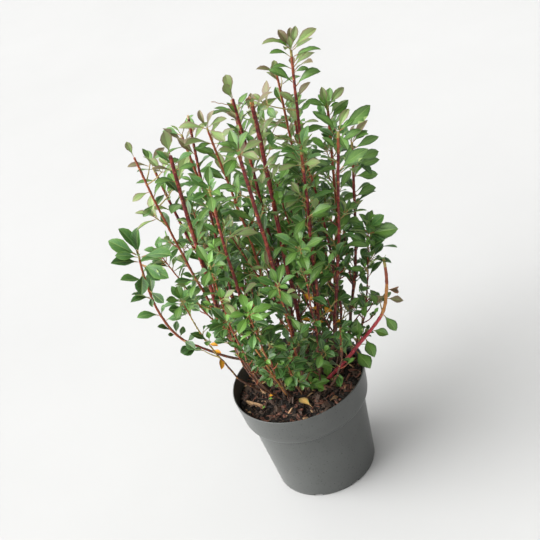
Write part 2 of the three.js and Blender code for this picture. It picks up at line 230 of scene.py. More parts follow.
# Leaves with a place of their own: tint, length and the place that each reaches for from the nearest limb.
LONE_LEAVES = [
    ("autumn", 20, (46, -4, 296)), ("autumn", 18, (47, -2, 272)), ("autumn", 20, (70, -4, 260)),
    ("autumn", 22, (60, -6, 245)), ("autumn", 17, (38, 0, 252)), ("autumn", 15, (76, -2, 236)),
    ("autumn", 17, (-96, 5, 264)), ("autumn", 13, (-94, 8, 250)), ("autumn", 22, (-92, -4, 234)),
    ("autumn", 14, (-68, 0, 282)),
    ("bronze", 24, (158, -18, 250)), ("bronze", 22, (140, -18, 262)), ("bronze", 24, (-35, 8, 555)),
    ("olive", 26, (-128, 4, 508)), ("mid", 24, (-107, 4, 490)),
    ("mid", 30, (126, -18, 264)), ("mid", 28, (114, -18, 248)), ("withered", 20, (164, -18, 264)),
]

# Leaves that stand clear of the clump: tint, length, how far along their stem, and which way across and up
# they point as the eye sees them.
BRANCH_LEAVES = {
    "arch_left": [
        ("jade", 47, 1.0, -0.45, 0.9), ("deep", 43, 1.0, 0.05, 1.0), ("jade", 46, 1.0, -0.9, 0.5),
        ("jade", 34, 0.99, -1.0, 0.1), ("deep", 43, 0.96, -1.0, -0.1), ("jade", 50, 0.99, 1.0, 0.15),
        ("deep", 38, 0.95, 0.8, -0.6), ("jade", 46, 0.95, 0.9, -0.4), ("deep", 38, 0.9, 0.05, -1.0),
        ("jade", 35, 0.84, -1.0, 0.0), ("deep", 31, 0.72, -1.0, -0.25), ("deep", 31, 0.77, 0.8, -0.6),
        ("deep", 17, 0.73, 0.2, -1.0), ("jade", 36, 0.58, -1.0, 0.0), ("jade", 18, 0.58, 0.3, 1.0),
        ("jade", 27, 0.54, 0.95, 0.3), ("deep", 23, 0.46, -0.9, 0.4), ("deep", 20, 0.43, 0.05, 1.0),
        ("deep", 17, 0.4, 0.4, 0.9), ("deep", 13, 0.43, -0.9, -0.1), ("deep", 27, 0.38, 0.8, -0.55),
        ("deep", 17, 0.35, 0.75, 0.65), ("deep", 21, 0.32, -0.8, -0.6), ("deep", 29, 0.27, -0.95, -0.3),
    ],
    "tall": [
        ("olive", 40, 1.0, 0.75, 0.65), ("olive", 40, 1.0, -0.95, 0.3), ("bronze", 30, 1.0, -0.6, 0.8),
        ("bronze", 27, 1.0, -0.1, 1.0), ("olive", 29, 1.0, 0.2, 1.0), ("mid", 24, 1.0, -0.8, 0.5),
        ("mid", 30, 0.98, -0.9, 0.3), ("mid", 38, 0.98, 0.9, 0.35), ("olive", 28, 0.96, 0.6, 0.75),
        ("mid", 27, 0.95, -0.95, 0.15), ("mid", 20, 0.94, 0.9, 0.3), ("mid", 38, 0.91, -0.85, 0.5),
        ("mid", 40, 0.9, 0.8, 0.6), ("bronze", 31, 0.86, 0.4, 0.9), ("olive", 30, 0.85, -0.75, 0.6),
        ("mid", 22, 0.83, 0.75, 0.65), ("olive", 24, 0.8, -0.6, 0.8),
    ],
    "right_inner": [
        ("bronze", 28, 1.0, -0.95, 0.25), ("bronze", 21, 0.97, -0.5, 0.85), ("olive", 38, 0.93, -0.85, -0.5),
        ("mid", 20, 0.9, 0.6, 0.8),
    ],
    "right_rear": [
        ("olive", 35, 1.0, 0.55, 0.85), ("olive", 29, 1.0, -0.35, 0.95), ("young", 22, 1.0, -0.65, 0.75),
        ("mid", 33, 1.0, -0.95, 0.25), ("young", 16, 1.0, 0.9, 0.4), ("mid", 38, 0.95, 0.65, 0.75),
        ("mid", 29, 0.94, -0.8, 0.55), ("mid", 40, 0.93, -0.95, -0.3),
    ],
    "right_front": [
        ("mid", 52, 1.0, 0.8, 0.6), ("olive", 31, 1.0, 0.25, 0.95), ("mid", 28, 0.93, -0.7, 0.7),
        ("deep", 29, 0.97, -0.85, 0.55), ("mid", 34, 0.96, 0.85, 0.5), ("mid", 50, 0.86, 0.8, 0.6),
    ],
    "far_right": [
        ("bronze", 36, 1.0, 0.55, 0.85), ("bronze", 23, 1.0, 0.0, 1.0), ("mid", 26, 1.0, 0.8, 0.6),
        ("mid", 39, 0.97, 0.9, 0.45), ("mid", 36, 0.92, 0.95, 0.4), ("mid", 37, 0.9, 0.95, 0.25),
        ("deep", 30, 0.92, 0.9, -0.45), ("mid", 35, 0.86, 1.0, 0.05), ("mid", 32, 0.77, 0.85, 0.5),
    ],
    "low_right": [
        ("mid", 43, 0.95, 1.0, 0.15), ("jade", 23, 0.93, 0.05, 1.0), ("mid", 20, 0.95, 0.6, 0.8),
        ("jade", 32, 0.98, 0.75, 0.65), ("deep", 27, 0.95, 0.85, -0.5), ("jade", 28, 0.96, -0.85, 0.55),
    ],
    "far_left": [("mid", 27, 0.85, 0.45, 0.9)],
    "left": [
        ("bronze", 28, 0.95, -1.0, 0.15), ("olive", 22, 0.96, -0.8, 0.5), ("olive", 20, 0.97, -0.5, 0.85),
        ("mid", 27, 0.95, 0.9, 0.35), ("mid", 22, 0.93, 0.95, -0.2), ("deep", 36, 0.86, -0.65, 0.75),
        ("mid", 29, 0.91, -1.0, 0.1),
    ],
    "left_inner": [("bronze", 34, 0.87, -0.7, 0.7), ("olive", 36, 0.91, 0.5, 0.85)],
    "middle_left": [
        ("bronze", 25, 1.0, -0.45, 0.9), ("olive", 29, 1.0, 0.9, 0.45), ("mid", 20, 0.95, -0.95, -0.2),
        ("mid", 33, 0.91, -0.95, 0.25), ("mid", 32, 0.82, -0.85, 0.4), ("jade", 30, 0.8, 0.85, 0.4),
        ("olive", 30, 0.97, 0.5, 0.85), ("mid", 28, 0.95, 0.95, -0.1), ("jade", 32, 0.92, 0.85, 0.5),
        ("mid", 30, 0.88, -0.7, 0.7), ("mid", 32, 0.87, 0.7, 0.7), ("jade", 32, 0.85, -0.95, 0.1),
        ("mid", 34, 0.74, -0.9, 0.3), ("mid", 32, 0.72, 0.9, 0.3), ("jade", 32, 0.67, -0.8, 0.5),
        ("deep", 30, 0.64, 0.8, 0.4),
    ],
    "middle_back": [("mid", 24, 0.94, -0.5, 0.8)],
    "low_far_left": [
        ("mid", 24, 1.0, -0.25, 0.95), ("mid", 22, 1.0, -1.0, 0.2), ("deep", 28, 1.0, 0.95, 0.1),
        ("deep", 27, 0.93, -1.0, 0.0), ("jade", 22, 1.0, 0.5, 0.8),
    ],
    "arch_right": [
        ("mid", 36, 0.44, 0.4, -0.9), ("mid", 38, 0.34, 0.6, -0.8), ("mid", 28, 0.5, 0.95, -0.3),
        ("mid", 32, 0.63, 0.6, -0.8), ("mid", 38, 0.39, -0.1, 1.0), ("mid", 32, 0.35, -0.8, 0.6),
        ("mid", 32, 0.27, -0.4, 0.9), ("young", 28, 0.17, -0.9, 0.4), ("young", 24, 0.12, -0.5, 0.9),
        ("young", 22, 0.1, -1.0, -0.1), ("young", 32, 0.07, -1.0, -0.25), ("young", 22, 0.07, -0.4, -0.45),
        ("mid", 30, 0.08, 0.9, -0.35), ("young", 24, 0.08, 1.0, 0.1), ("young", 24, 0.06, -0.8, 0.6),
        ("young", 26, 0.08, -0.1, 1.0),
    ],
}

# Sprays with a place of their own: tint, leaf length, number of leaves and where the whorl opens.
SPRAYS = [
    ("young", 27, 9, (14, -32, 170)), ("deep", 24, 7, (-15, -24, 196)), ("deep", 22, 7, (-36, -26, 200)),
    ("olive", 30, 6, (-85, 10, 544)), ("olive", 30, 5, (-74, -10, 537)), ("mid", 32, 6, (-64, 10, 505)),
    ("olive", 32, 6, (65, 10, 545)), ("mid", 32, 6, (46, 20, 507)), ("mid", 30, 6, (160, 10, 322)),
    ("mid", 26, 6, (138, -10, 247)), ("deep", 22, 6, (95, 0, 200)), ("olive", 32, 6, (70, 0, 572)),
    ("olive", 32, 6, (65, 10, 530)),
]

# Litter on the mix: tint, length, place and heading in degrees.
FALLEN_LEAVES = [
    ("straw", 31, (5, -58), 117), ("autumn", 15, (-24, -8), 30), ("autumn", 12, (-36, -5), 200),
    ("autumn", 8, (-14, -11), 100), ("young", 8, (-42, -14), 160), ("young", 7, (-62, -30), 40),
    ("withered", 14, (30, -58), 15), ("withered", 12, (48, 62), 70), ("straw", 16, (-50, 52), 140),
]

# Dead sticks: half thickness, foot and top.
STICKS = [
    (1.5, (-23, -8, SOIL_TOP - 4), (-41, -52, 270)),
    (0.5, (36, 49, 562), (11, 30, 584)),
    (0.4, (-22, 20, 559), (-28, 18, 578)),
]

# Leaf tints, in the order of the leaf pieces' material slots, and how they are dealt out from each height up.
# The dark deep tint that fills the low clump is partly painted shade. The pale olive at the top is partly
# painted light and sheen.
SUNNY_HEIGHT = 480
TINTS = ["mid", "deep", "young", "olive", "jade", "bronze", "autumn", "withered", "straw"]
UNDERSIDE_SLOT, STALK_SLOT = len(TINTS), len(TINTS) + 1
TINT_SHARES = [
    (SUNNY_HEIGHT, {"olive": 0.42, "mid": 0.32, "jade": 0.1, "young": 0.06, "bronze": 0.1}),
    (340, {"mid": 0.36, "jade": 0.2, "deep": 0.28, "young": 0.08, "olive": 0.08}),
    (280, {"deep": 0.72, "mid": 0.15, "jade": 0.1, "young": 0.03}),
    (0, {"deep": 0.86, "mid": 0.06, "jade": 0.06, "young": 0.02}),
]
ARCH_SHADES = {"deep": 0.9, "jade": 0.1}

# A share of a whorl's leaves take a tint of kin, some olive ones turn bronze, and some inner ones are young.
TINT_KIN = {"mid": "jade", "deep": "mid", "jade": "deep", "olive": "mid", "young": "mid"}
KIN_SHARE, TURNING_SHARE, YOUNG_SHARE = 0.25, 0.12, 0.35

# Barks, in the order of the wood pieces' material slots. Two are crimson with light painted in: a lighter one
# for the arch in full light, as painted light, and a darker one low on the canes, as painted shade.
BARKS = ["old", "russet", "crimson", "wine", "rosy", "green", "dry", "cut"]

# The leaves are joined in four pieces, each from the masses of its part of the clump.
LEAF_PIECES = {
    "leaves_left": ["far_left", "left", "left_inner", "left_front", "middle_left", "arch_left",
                    "low_left", "low_far_left", "low_low_left", "low_front_left"],
    "leaves_middle": ["front", "middle_back", "middle", "right_inner", "tall", "front_right",
                      "low_front", "low_low_front", "low_front_right"],
    "leaves_right": ["right_rear", "right_front", "far_right", "right", "arch_right",
                     "low_right", "low_low_right"],
    "leaves_back": ["back_right", "back", "back_left", "rear_left",
                    "low_back_right", "low_back", "low_back_left", "low_rear_left"],
}
LITTER_MASS = "low_low_front"

# How far leaves stay from the middle lines of limbs, from the mix and from the rim, and how far out from the
# pot's middle they may dip below the rim.
LIMB_ROOM, MIX_ROOM, RIM_ROOM = 3.2, 6, 4
INSIDE_RIM = 80

# The places along a leaf that have to be clear of limbs and of the lines of sight to canes, and the one that
# keeps off other leaves.
CLEAR_PLACES = (0.5, 0.78, 1.0)
HIDING_PLACES = (0.5, 0.75, 0.95)
BLADE_MIDDLE = 0.6

# How leaves differ, from least to most: width to the usual one, rise at the stalk and bend along the blade in
# radians, slope of the folded halves, turn about the midrib in radians, and how blunt the tip is.
WIDTHS = (0.86, 1.14)
RISES = (0.1, 0.4)
BENDS = (0.3, 1.05)
FOLDS = (0.14, 0.46)
TWISTS = (-0.35, 0.35)
BLUNT_TIPS = (0, 0.35)

# How much more a yellowed or withered leaf bends and folds.
DRY_CURLS = {"autumn": 0.4, "withered": 1.1}

# Leaves of a whorl start a step apart along its stem, lean out with some jitter in degrees and differ in
# size, and the innermost are smaller. The inner part of a whorl is its last quarter.
WHORL_STEP = 1.1
WHORL_JITTER = 7
WHORL_SIZES = (0.86, 1.08)
INNER_SHRINK = 0.42
INNER_PART = 0.75

# Spurs, from least to most: length to the usual one, leaves in the whorl and the size of these leaves. Longer
# ones bear a leaf of their own. The last line is the size of the leaves that stand on a stem.
SPUR_SPANS = (0.35, 1.15)
SPUR_LEAVES = (4, 8)
SPUR_LEAF_SIZES = (0.55, 0.95)
LEAFY_SPUR = 15
LEAF_SIZES = (0.6, 1.05)

# How far leaves and spurs lean out from their stem, in degrees.
LEAF_LEANS = (36, 68)
SPUR_LEANS = (38, 66)

# What changes with height or along a stem, as places and the values there. Leaves low in the clump are small
# and broad. Spurs are fewest and shortest near the top, and the leafy share of a stem's nodes changes at four
# places along it.
WIDTH_BY_HEIGHT = ((250, 480), (1.15, 0.95))
SIZE_BY_HEIGHT = ((200, 330, 470), (0.62, 0.94, 1.0))
SPURS_ALONG = ((0.6, 0.85), (1, 0.4))
SPUR_SPANS_ALONG = ((0.2, 0.5, 1.0), (1.1, 0.85, 0.3))
LEAFY_PLACES = (0.1, 0.3, 0.62, 0.76)

# Leaves that stand clear of the clump are narrower and more curled at the top.
CLEAR_LEAF_WIDTHS = ((400, 480), (1.15, 0.85))
CLEAR_LEAF_CURLS = ((400, 480), (0.0, 0.4))

# At full chance this share of the nodes bears leaves or a spur, and the rest are bare. On its bare side a
# stem has less of that chance. In its upper part leaves stand in pairs and spurs are green, as a share of the
# spurs below are, and the top length is left to the crown.
BORNE_SHARE = 0.88
BARE_SHARE = 0.25
UPPER_PART = 0.7
GREEN_SPURS = 0.35
TOP_LENGTH = 12


def linear(hex_colour):
    """The linear RGB of an sRGB hex colour."""
    parts = [int(hex_colour[i:i + 2], 16) / 255 for i in (1, 3, 5)]
    return tuple(p / 12.92 if p <= 0.04045 else ((p + 0.055) / 1.055) ** 2.4 for p in parts)


def length(name, description, millimetres):
    return bpy.props.FloatProperty(
        name=name, description=description, default=millimetres * MM, min=0, unit="LENGTH")


def tint(name, description, hex_colour):
    return bpy.props.FloatVectorProperty(
        name=name, description=description, default=linear(hex_colour), size=3, min=0, max=1, subtype="COLOR")


class ShrubSizes(bpy.types.PropertyGroup):
    leaf_length: length("Leaf length", "Length of a full-grown leaf with its stalk", 41)
    leaf_width: length("Leaf width", "Width of a full-grown leaf at its widest", 16)
    leaf_thickness: length("Leaf thickness", "Thickness of a leaf along its midrib", 0.5)
    node_spacing: length("Node spacing", "Distance between the leaf nodes of a cane", 9)
    spur_length: length("Spur length", "Length of the longer leafy spurs", 30)
    bark_relief: length("Bark relief", "Height of the ridges in the bark", 0.5)


class ShrubColours(bpy.types.PropertyGroup):
    leaf_mid: tint("Leaf", "Full-grown leaf", "#648d3e")
    # Partly the older leaves' own green and partly painted shade, for the shade low in the clump.
    leaf_deep: tint("Shaded leaf", "Older leaf low in the clump", "#2d4d1e")
    leaf_young: tint("Young leaf", "Leaf near a growing tip", "#6c9c40")
    # Partly the top leaves' own olive and partly painted light and sheen: paler and greyer where the light
    # falls.
    leaf_olive: tint("Sunlit leaf", "Leaf in full light at the top of a cane", "#859f5b")
    leaf_jade: tint("Cool leaf", "Full-grown leaf of a cooler green", "#4b7a3c")
    leaf_bronze: tint("Bronze leaf", "Leaf turning at the top of a cane", "#77704c")
    leaf_mauve: tint("Mauve edge", "Flush along the edge of a turning leaf", "#7d6056")
    leaf_autumn: tint("Autumn leaf", "Yellowed leaf about to fall", "#e0a42c")
    leaf_amber: tint("Amber edge", "Edge of a yellowed leaf", "#cc7a1a")
    leaf_withered: tint("Withered leaf", "Dry curled leaf", "#6c5a40")
    leaf_straw: tint("Straw leaf", "Fallen leaf bleached by the light", "#d2ab62")
    leaf_rib: tint("Veins", "Midrib and side veins", "#96b164")
    leaf_stalk: tint("Leaf stalk", "Reddened stalk of a leaf", "#a8704c")
    leaf_underside: tint("Underside", "Pale underside of a leaf", "#8a9e66")
    bark_old: tint("Old bark", "Bark at the foot of a cane", "#654a3c")
    bark_russet: tint("Russet bark", "Bark of the slimmer canes", "#90472f")
    bark_crimson: tint("Crimson bark", "Bark of the year's canes", "#6e1d24")
    # Painted shade: this bark is the crimson painted darker, for the shade low down under the crown.
    bark_wine: tint("Wine bark", "Darker bark low on the year's canes", "#52171a")
    # Painted light: this bark is the crimson painted lighter, for the arch that lies in full light.
    bark_rosy: tint("Rosy bark", "Bark of the branch that lies in full light", "#b23a44")
    bark_green: tint("Green bark", "Bark of the growing tips", "#9c8c50")
    bark_dry: tint("Dry bark", "Bark of dead sticks and leaf scars", "#b47c48")
    cut_wood: tint("Cut wood", "Pale wood where a cane was cut", "#c2a883")
    pot_grey: tint("Pot", "Grey of the moulded pot", "#525452")
    mix_dark: tint("Mix", "Dark peat between the chips", "#201a15")
    chip_weathered: tint("Weathered chip", "Old chipped bark", "#514036")
    chip_torn: tint("Torn chip", "Red-brown torn bark", "#724b3d")
    chip_fresh: tint("Fresh chip", "Pale splinter", "#b8946f")
    chip_black: tint("Black chip", "Wet rotted bark", "#1f1915")


def settings(context):
    return context.scene.shrub_sizes, context.scene.shrub_colours


# Curves and frames

def unit(vector):
    return vector / np.linalg.norm(vector)


def bezier(first, middle, last, count):
    t = np.linspace(0, 1, count)[:, None]
    return (1 - t) ** 2 * first + 2 * t * (1 - t) * middle + t ** 2 * last


class Stem:
    """A limb: its middle line and half thickness, with a frame square to it, in millimetres."""

    def __init__(self, mass, line, radius, bark, end):
        self.mass, self.line, self.radius, self.bark, self.end = mass, line, radius, bark, end
        steps = np.linalg.norm(np.diff(line, axis=0), axis=1)
        self.reach = np.concatenate([[0], np.cumsum(steps)])
        self.length = self.reach[-1]
        self.along = np.gradient(line, axis=0)
        self.along /= np.linalg.norm(self.along, axis=1)[:, None]
        self.nodes = []

    def at(self, distance):
        """The point, its frame and the half thickness at a distance along the stem."""
        point, along = (np.array([np.interp(distance, self.reach, values[:, k]) for k in range(3)])
                        for values in (self.line, self.along))
        along = unit(along)
        across = unit(np.array([1.0, 0, 0]) - along[0] * along)
        return point, along, across, np.cross(across, along), np.interp(distance, self.reach, self.radius)


def leaving(along, across, third, angle, turn):
    """The direction that leaves a stem at an angle, turned round the stem."""
    outward = across * math.cos(turn) + third * math.sin(turn)
    return along * math.cos(angle) + outward * math.sin(angle)


def swayed(line, dice, sway):
    """The line with a slow natural waver, which leaves its two ends in place."""
    share = np.linspace(0, 1, len(line))
    waver = np.zeros_like(line)
    for waves in SWAY_WAVES:
        phase = dice.uniform(0, FULL_TURN, 2)
        for k in range(2):
            waver[:, k] += np.sin(FULL_TURN * waves * share + phase[k]) / waves
    return line + sway * waver * np.sin(math.pi * share)[:, None]


def stem_line(knee, tip):
    """The middle line of a cane or shoot, from under the top of the mix over its knee to its tip."""
    knee = np.array(knee, float)
    foot = CLUMP_MIDDLE + (knee - CLUMP_MIDDLE) * FOOT_SHARE
    knee_height = SOIL_TOP + (tip[2] - SOIL_TOP) * KNEE_RISE
    first, last = np.array([*foot, SOIL_TOP - FOOT_SUNK]), np.array(tip, float)
    count = int(np.linalg.norm(last - first) / LINE_STEP)
    return bezier(first, np.array([*knee, knee_height]), last, count)


def arch_line(arch):
    """The middle line of an arch, from its parent or its own foot out to the elbow and up to the tip."""
    elbow, tip = np.array(arch["elbow"], float), np.array(arch["tip"], float)
    if "parent" in arch:
        cane = next(cane for cane in CANES if cane.name == arch["parent"])
        parent = stem_line(cane.knee, cane.tip)
        middle = parent[int(arch["at"] * (len(parent) - 1))]
        root = middle + unit(elbow - middle) * cane.radius * 0.5
    else:
        root = np.array([*arch["foot"], SOIL_TOP - FOOT_SUNK], float)
    sagging = (root + elbow) / 2 - ARCH_SAG * UP
    heading = unit(elbow - sagging)
    rising = elbow + heading * ARCH_RISE * np.linalg.norm(tip - elbow)
    lower = bezier(root, sagging, elbow, ARCH_POINTS)
    return np.vstack([lower, bezier(elbow, rising, tip, ARCH_POINTS)[1:]])


def flared(line, foot, tip):
    """Half thicknesses that taper up a stem from a flared foot."""
    share = np.linspace(0, 1, len(line))
    return foot + (tip - foot) * share + FLARE * foot * np.exp(-share * FLARE_FADE)


def lateral_line(stem, dice):
    """A thin side branch that leaves a cane low down, on the inner side, and rises beside it."""
    point, along, *_ = stem.at(dice.uniform(*LATERAL_STARTS) * stem.length)
    span = dice.uniform(*LATERAL_SPANS) * stem.length
    inward = np.array([*(CLUMP_MIDDLE - point[:2]), 0]) + dice.normal(0, 40, 3)
    outward = unit(inward - along * (inward @ along))
    knee = point + unit(along + 0.6 * outward) * span * 0.35
    return bezier(point, knee, knee + unit(along + 0.2 * outward) * span * 0.65, int(span / 4))


def finder(points):
    """A tree that finds which of the points is nearest."""
    tree = KDTree(len(points))
    for i, point in enumerate(points):
        tree.insert(point, i)
    tree.balance()
    return tree


def in_view(point):
    """Where the eye sees a point: across and up, at the clump's distance, and how far off it is."""
    off = point - EYE
    depth = off @ VIEW_AHEAD
    return VIEW_DISTANCE * (off @ VIEW_RIGHT) / depth, VIEW_DISTANCE * (off @ VIEW_UP) / depth, depth


# Growth: every stem takes its room first, then leaves and spurs grow in the room that is left.

class Leaf(NamedTuple):
    """One leaf: where it starts, its frame, its size and how it is bent."""
    mass: str
    base: np.ndarray
    direction: np.ndarray
    side: np.ndarray
    face: np.ndarray
    size: float
    ratio: float
    tint: int
    rise: float
    bend: float
    fold: float
    twist: float
    wave: float
    blunt: float


class Habit(NamedTuple):
    """How a stem is clothed. Shares are of its length, of its nodes or of the full-grown size."""
    start: float = 0.1
    leafy: float = 1.0
    upper: float = 1.0
    spurs: float = 0.5
    spur_span: float = 1.0
    spacing: float = 1.0
    leaf_size: float = 1.0
    top: int = 8
    top_size: float = 1.0
    end: str = "whorl"
    bare_front: bool = False
    shades: dict = None
    rosette: str = ""


class Growth:
    """All that grows on the clump, as plain lists of leaves, twigs and scars."""

    def __init__(self, stems, sizes):
        self.stems, self.sizes = stems, sizes
        self.leaves, self.twigs, self.scars = [], [], []
        self.taken = {}
        self.owners = [i for i, stem in enumerate(stems) for _ in stem.line]
        self.limbs = finder(np.vstack([stem.line for stem in stems]))
        self.gaps = np.array([(x, 0, z) for x, z, _ in SKY_GAPS + WINDOWS], float)
        self.sights = (self.gaps - EYE) / np.linalg.norm(self.gaps - EYE, axis=1)[:, None]
        self.gap_widths = np.array([width for *_, width in SKY_GAPS + WINDOWS])
        self.gap_depths = np.array([math.inf] * len(SKY_GAPS) + [WINDOW_DEPTH] * len(WINDOWS))
        self.seen = []
        for stem in stems:
            if stem.mass in SEEN_CANES and stem.end != "lateral":
                start = 0 if stem.mass == "arch_right" else int(SEEN_FROM * len(stem.line))
                self.seen += [in_view(point) for point in stem.line[start:]]
        self.seen += [in_view(point) for _, foot, top in STICKS for point in np.linspace(foot, top, 40)]
        self.seen_lines = finder([(across, up, 0) for across, up, _ in self.seen])

    def in_the_way(self, point):
        """True where a leaf would touch a limb or the pot, hide the mix or close a gap in the crown."""
        if self.limbs.find(point)[2] < LIMB_ROOM:
            return True
        in_the_mix = point[2] < SOIL_TOP + MIX_ROOM
        if point[2] < POT_HEIGHT + RIM_ROOM and (in_the_mix or np.hypot(point[0], point[1]) > INSIDE_RIM):
            return True
        front_line = np.interp(point[0], FRONT_LINE_X, FRONT_LINE_Z)
        if point[2] < front_line - FRONT_LINE_DROP * (point[1] - FRONT_LINE_Y):
            return True
        apart = point - self.gaps
        along = np.sum(apart * self.sights, axis=1)
        off = np.sum(apart ** 2, axis=1) - along ** 2
        return bool(np.any((off < self.gap_widths ** 2) & (along < self.gap_depths)))

    def hides_a_cane(self, point):
        """True where a leaf would stand between the eye and a cane that stays in sight."""
        across, up, depth = in_view(point)
        _, index, distance = self.seen_lines.find((across, up, 0))
        return distance < SEEN_WIDTH and depth < self.seen[index][2] - SEEN_LEAD

    def has_room(self, base, direction, size, crowding, hiding, dice):
        """True, and the room is taken, if a leaf here stays clear of the limbs and of other leaves."""
        if any(self.in_the_way(base + direction * size * share) for share in CLEAR_PLACES):
            return False
        if not hiding and dice.random() < SEEN_SHARE and any(
                self.hides_a_cane(base + direction * size * share) for share in HIDING_PLACES):
            return False
        middle = base + direction * size * BLADE_MIDDLE
        cell = tuple((middle // crowding).astype(int))
        for step in np.ndindex(3, 3, 3):
            near = tuple(c + s - 1 for c, s in zip(cell, step))
            if any(np.sum((other - middle) ** 2) < crowding ** 2 for other in self.taken.get(near, ())):
                return False
        self.taken.setdefault(cell, []).append(middle)
        return True

    def leaf(self, mass, base, direction, face, size, shade, dice, curl=0.0, crowding=6.0, blunt=None,
             hiding=False, broad=1.0):
        """Adds a leaf where there is room. With no crowding it grows whatever is near."""
        if crowding and not self.has_room(base, direction, size, crowding, hiding, dice):
            return
        side = unit(np.cross(direction, face))
        ratio = broad * self.sizes.leaf_width / self.sizes.leaf_length * dice.uniform(*WIDTHS)
        self.leaves.append(Leaf(
            mass, base, direction, side, np.cross(side, direction), size,
            ratio=ratio * np.interp(base[2], *WIDTH_BY_HEIGHT),
            tint=TINTS.index(shade),
            rise=dice.uniform(*RISES),
            bend=dice.uniform(*BENDS) + curl,
            fold=dice.uniform(*FOLDS) + 0.5 * curl,
            twist=dice.uniform(*TWISTS) * (1 + curl),
            wave=dice.uniform(0, FULL_TURN),
            blunt=dice.uniform(*BLUNT_TIPS) if blunt is None else blunt))

    def whorl(self, mass, tip, axis, count, size, shade, dice, spread=66, closed=28, curl=0.0, crowding=4.0,
              hiding=False):
        """A tight spiral of leaves round a tip: old leaves lie out below, young ones stand up inside."""
        across = unit(np.cross(axis, np.array([0.31, 0.83, 0.46])))
        third = np.cross(across, axis)
        turn = dice.uniform(0, FULL_TURN)
        for i in range(count):
            inner = i / max(1, count - 1)
            lean = spread + (closed - spread) * inner ** 1.2
            angle = math.radians(lean + dice.uniform(-WHORL_JITTER, WHORL_JITTER))
            direction = leaving(axis, across, third, angle, turn + i * GOLDEN_ANGLE)
            grown = size * (1 - INNER_SHRINK * inner ** 2) * dice.uniform(*WHORL_SIZES)
            own = TINT_KIN.get(shade, shade) if dice.random() < KIN_SHARE else shade
            if shade == "olive" and dice.random() < TURNING_SHARE:
                own = "bronze"
            youngest = inner > INNER_PART and shade in TINT_KIN and tip[2] < SUNNY_HEIGHT
            if youngest and dice.random() < YOUNG_SHARE:
                own = "young"
            base = tip - axis * (count - 1 - i) * WHORL_STEP
            self.leaf(mass, base, direction, unit(axis + 0.5 * UP), grown, own, dice, curl, crowding,
                      hiding=hiding)

    def spur(self, stem, point, direction, span, size, shade, bark, dice):
        """A spur that bends up from its limb and ends in a whorl. One that finds no room isn't kept."""
        before = len(self.leaves)
        middle = point + direction * span * 0.55
        line = bezier(point, middle, middle + unit(direction + 0.75 * UP) * span * 0.5, max(3, int(span / 5)))
        axis = unit(line[-1] - line[-2])
        self.whorl(stem.mass, line[-1], axis, int(dice.integers(*SPUR_LEAVES)), size, shade, dice)
        if span > LEAFY_SPUR:
            outward = unit(np.cross(axis, direction + 0.01 * UP)) * dice.choice((-1, 1))
            self.leaf(stem.mass, line[len(line) // 2], unit(outward + 0.5 * axis), unit(axis + UP),
                      0.75 * size, shade, dice)
        if len(self.leaves) > before:
            self.twigs.append((line, np.linspace(*TWIG, len(line)), bark))

    def shade_for(self, height, habit, dice):
        """A tint for one spray, by its height or by its stem's own shares."""
        shares = habit.shades or next(shares for lowest, shares in TINT_SHARES if height > lowest)
        return str(dice.choice(list(shares), p=list(shares.values())))

    def dress(self, stem, habit, dice):
        """Nodes in a spiral up a stem: some are bare scars, the rest bear spurs or single leaves."""
        full = self.sizes.leaf_length / MM * habit.leaf_size
        turn = dice.uniform(0, FULL_TURN)
        distance = habit.start * stem.length
        while distance < stem.length - TOP_LENGTH:
            share = distance / stem.length
            point, along, across, third, radius = stem.at(distance)
            grown_size = full * np.interp(point[2], *SIZE_BY_HEIGHT)
            outward = leaving(along, across, third, math.pi / 2, turn)
            chance = np.interp(share, LEAFY_PLACES,
                               (0.25 * habit.leafy, habit.leafy, habit.leafy, habit.upper))
            if habit.bare_front and outward @ BARE_SIDE > 0.3:
                chance *= BARE_SHARE
            spurs = habit.spurs * np.interp(share, *SPURS_ALONG)
            shade = self.shade_for(point[2], habit, dice)
            stem.nodes.append(distance)
            roll = dice.random()
            if roll < spurs * chance:
                direction = leaving(along, across, third, math.radians(dice.uniform(*SPUR_LEANS)), turn)
                span = self.sizes.spur_length / MM * habit.spur_span * dice.uniform(*SPUR_SPANS)
                span *= np.interp(share, *SPUR_SPANS_ALONG)
                bark = "green" if share > UPPER_PART or dice.random() < GREEN_SPURS else stem.bark
                self.spur(stem, point + direction * radius * 0.5, direction, span,
                          grown_size * dice.uniform(*SPUR_LEAF_SIZES), shade, bark, dice)
            elif roll < BORNE_SHARE * chance:
                for k in range(2 if share > UPPER_PART else 1):
                    angle = math.radians(dice.uniform(*LEAF_LEANS))
                    direction = leaving(along, across, third, angle, turn + k * GOLDEN_ANGLE)
                    self.leaf(stem.mass, point + direction * radius * 0.6, direction, unit(along + 0.4 * UP),
                              grown_size * dice.uniform(*LEAF_SIZES), shade, dice)
            self.scars.append((point, outward, along, radius))
            turn += GOLDEN_ANGLE
            distance += self.sizes.node_spacing / MM * habit.spacing * dice.uniform(0.75, 1.25)

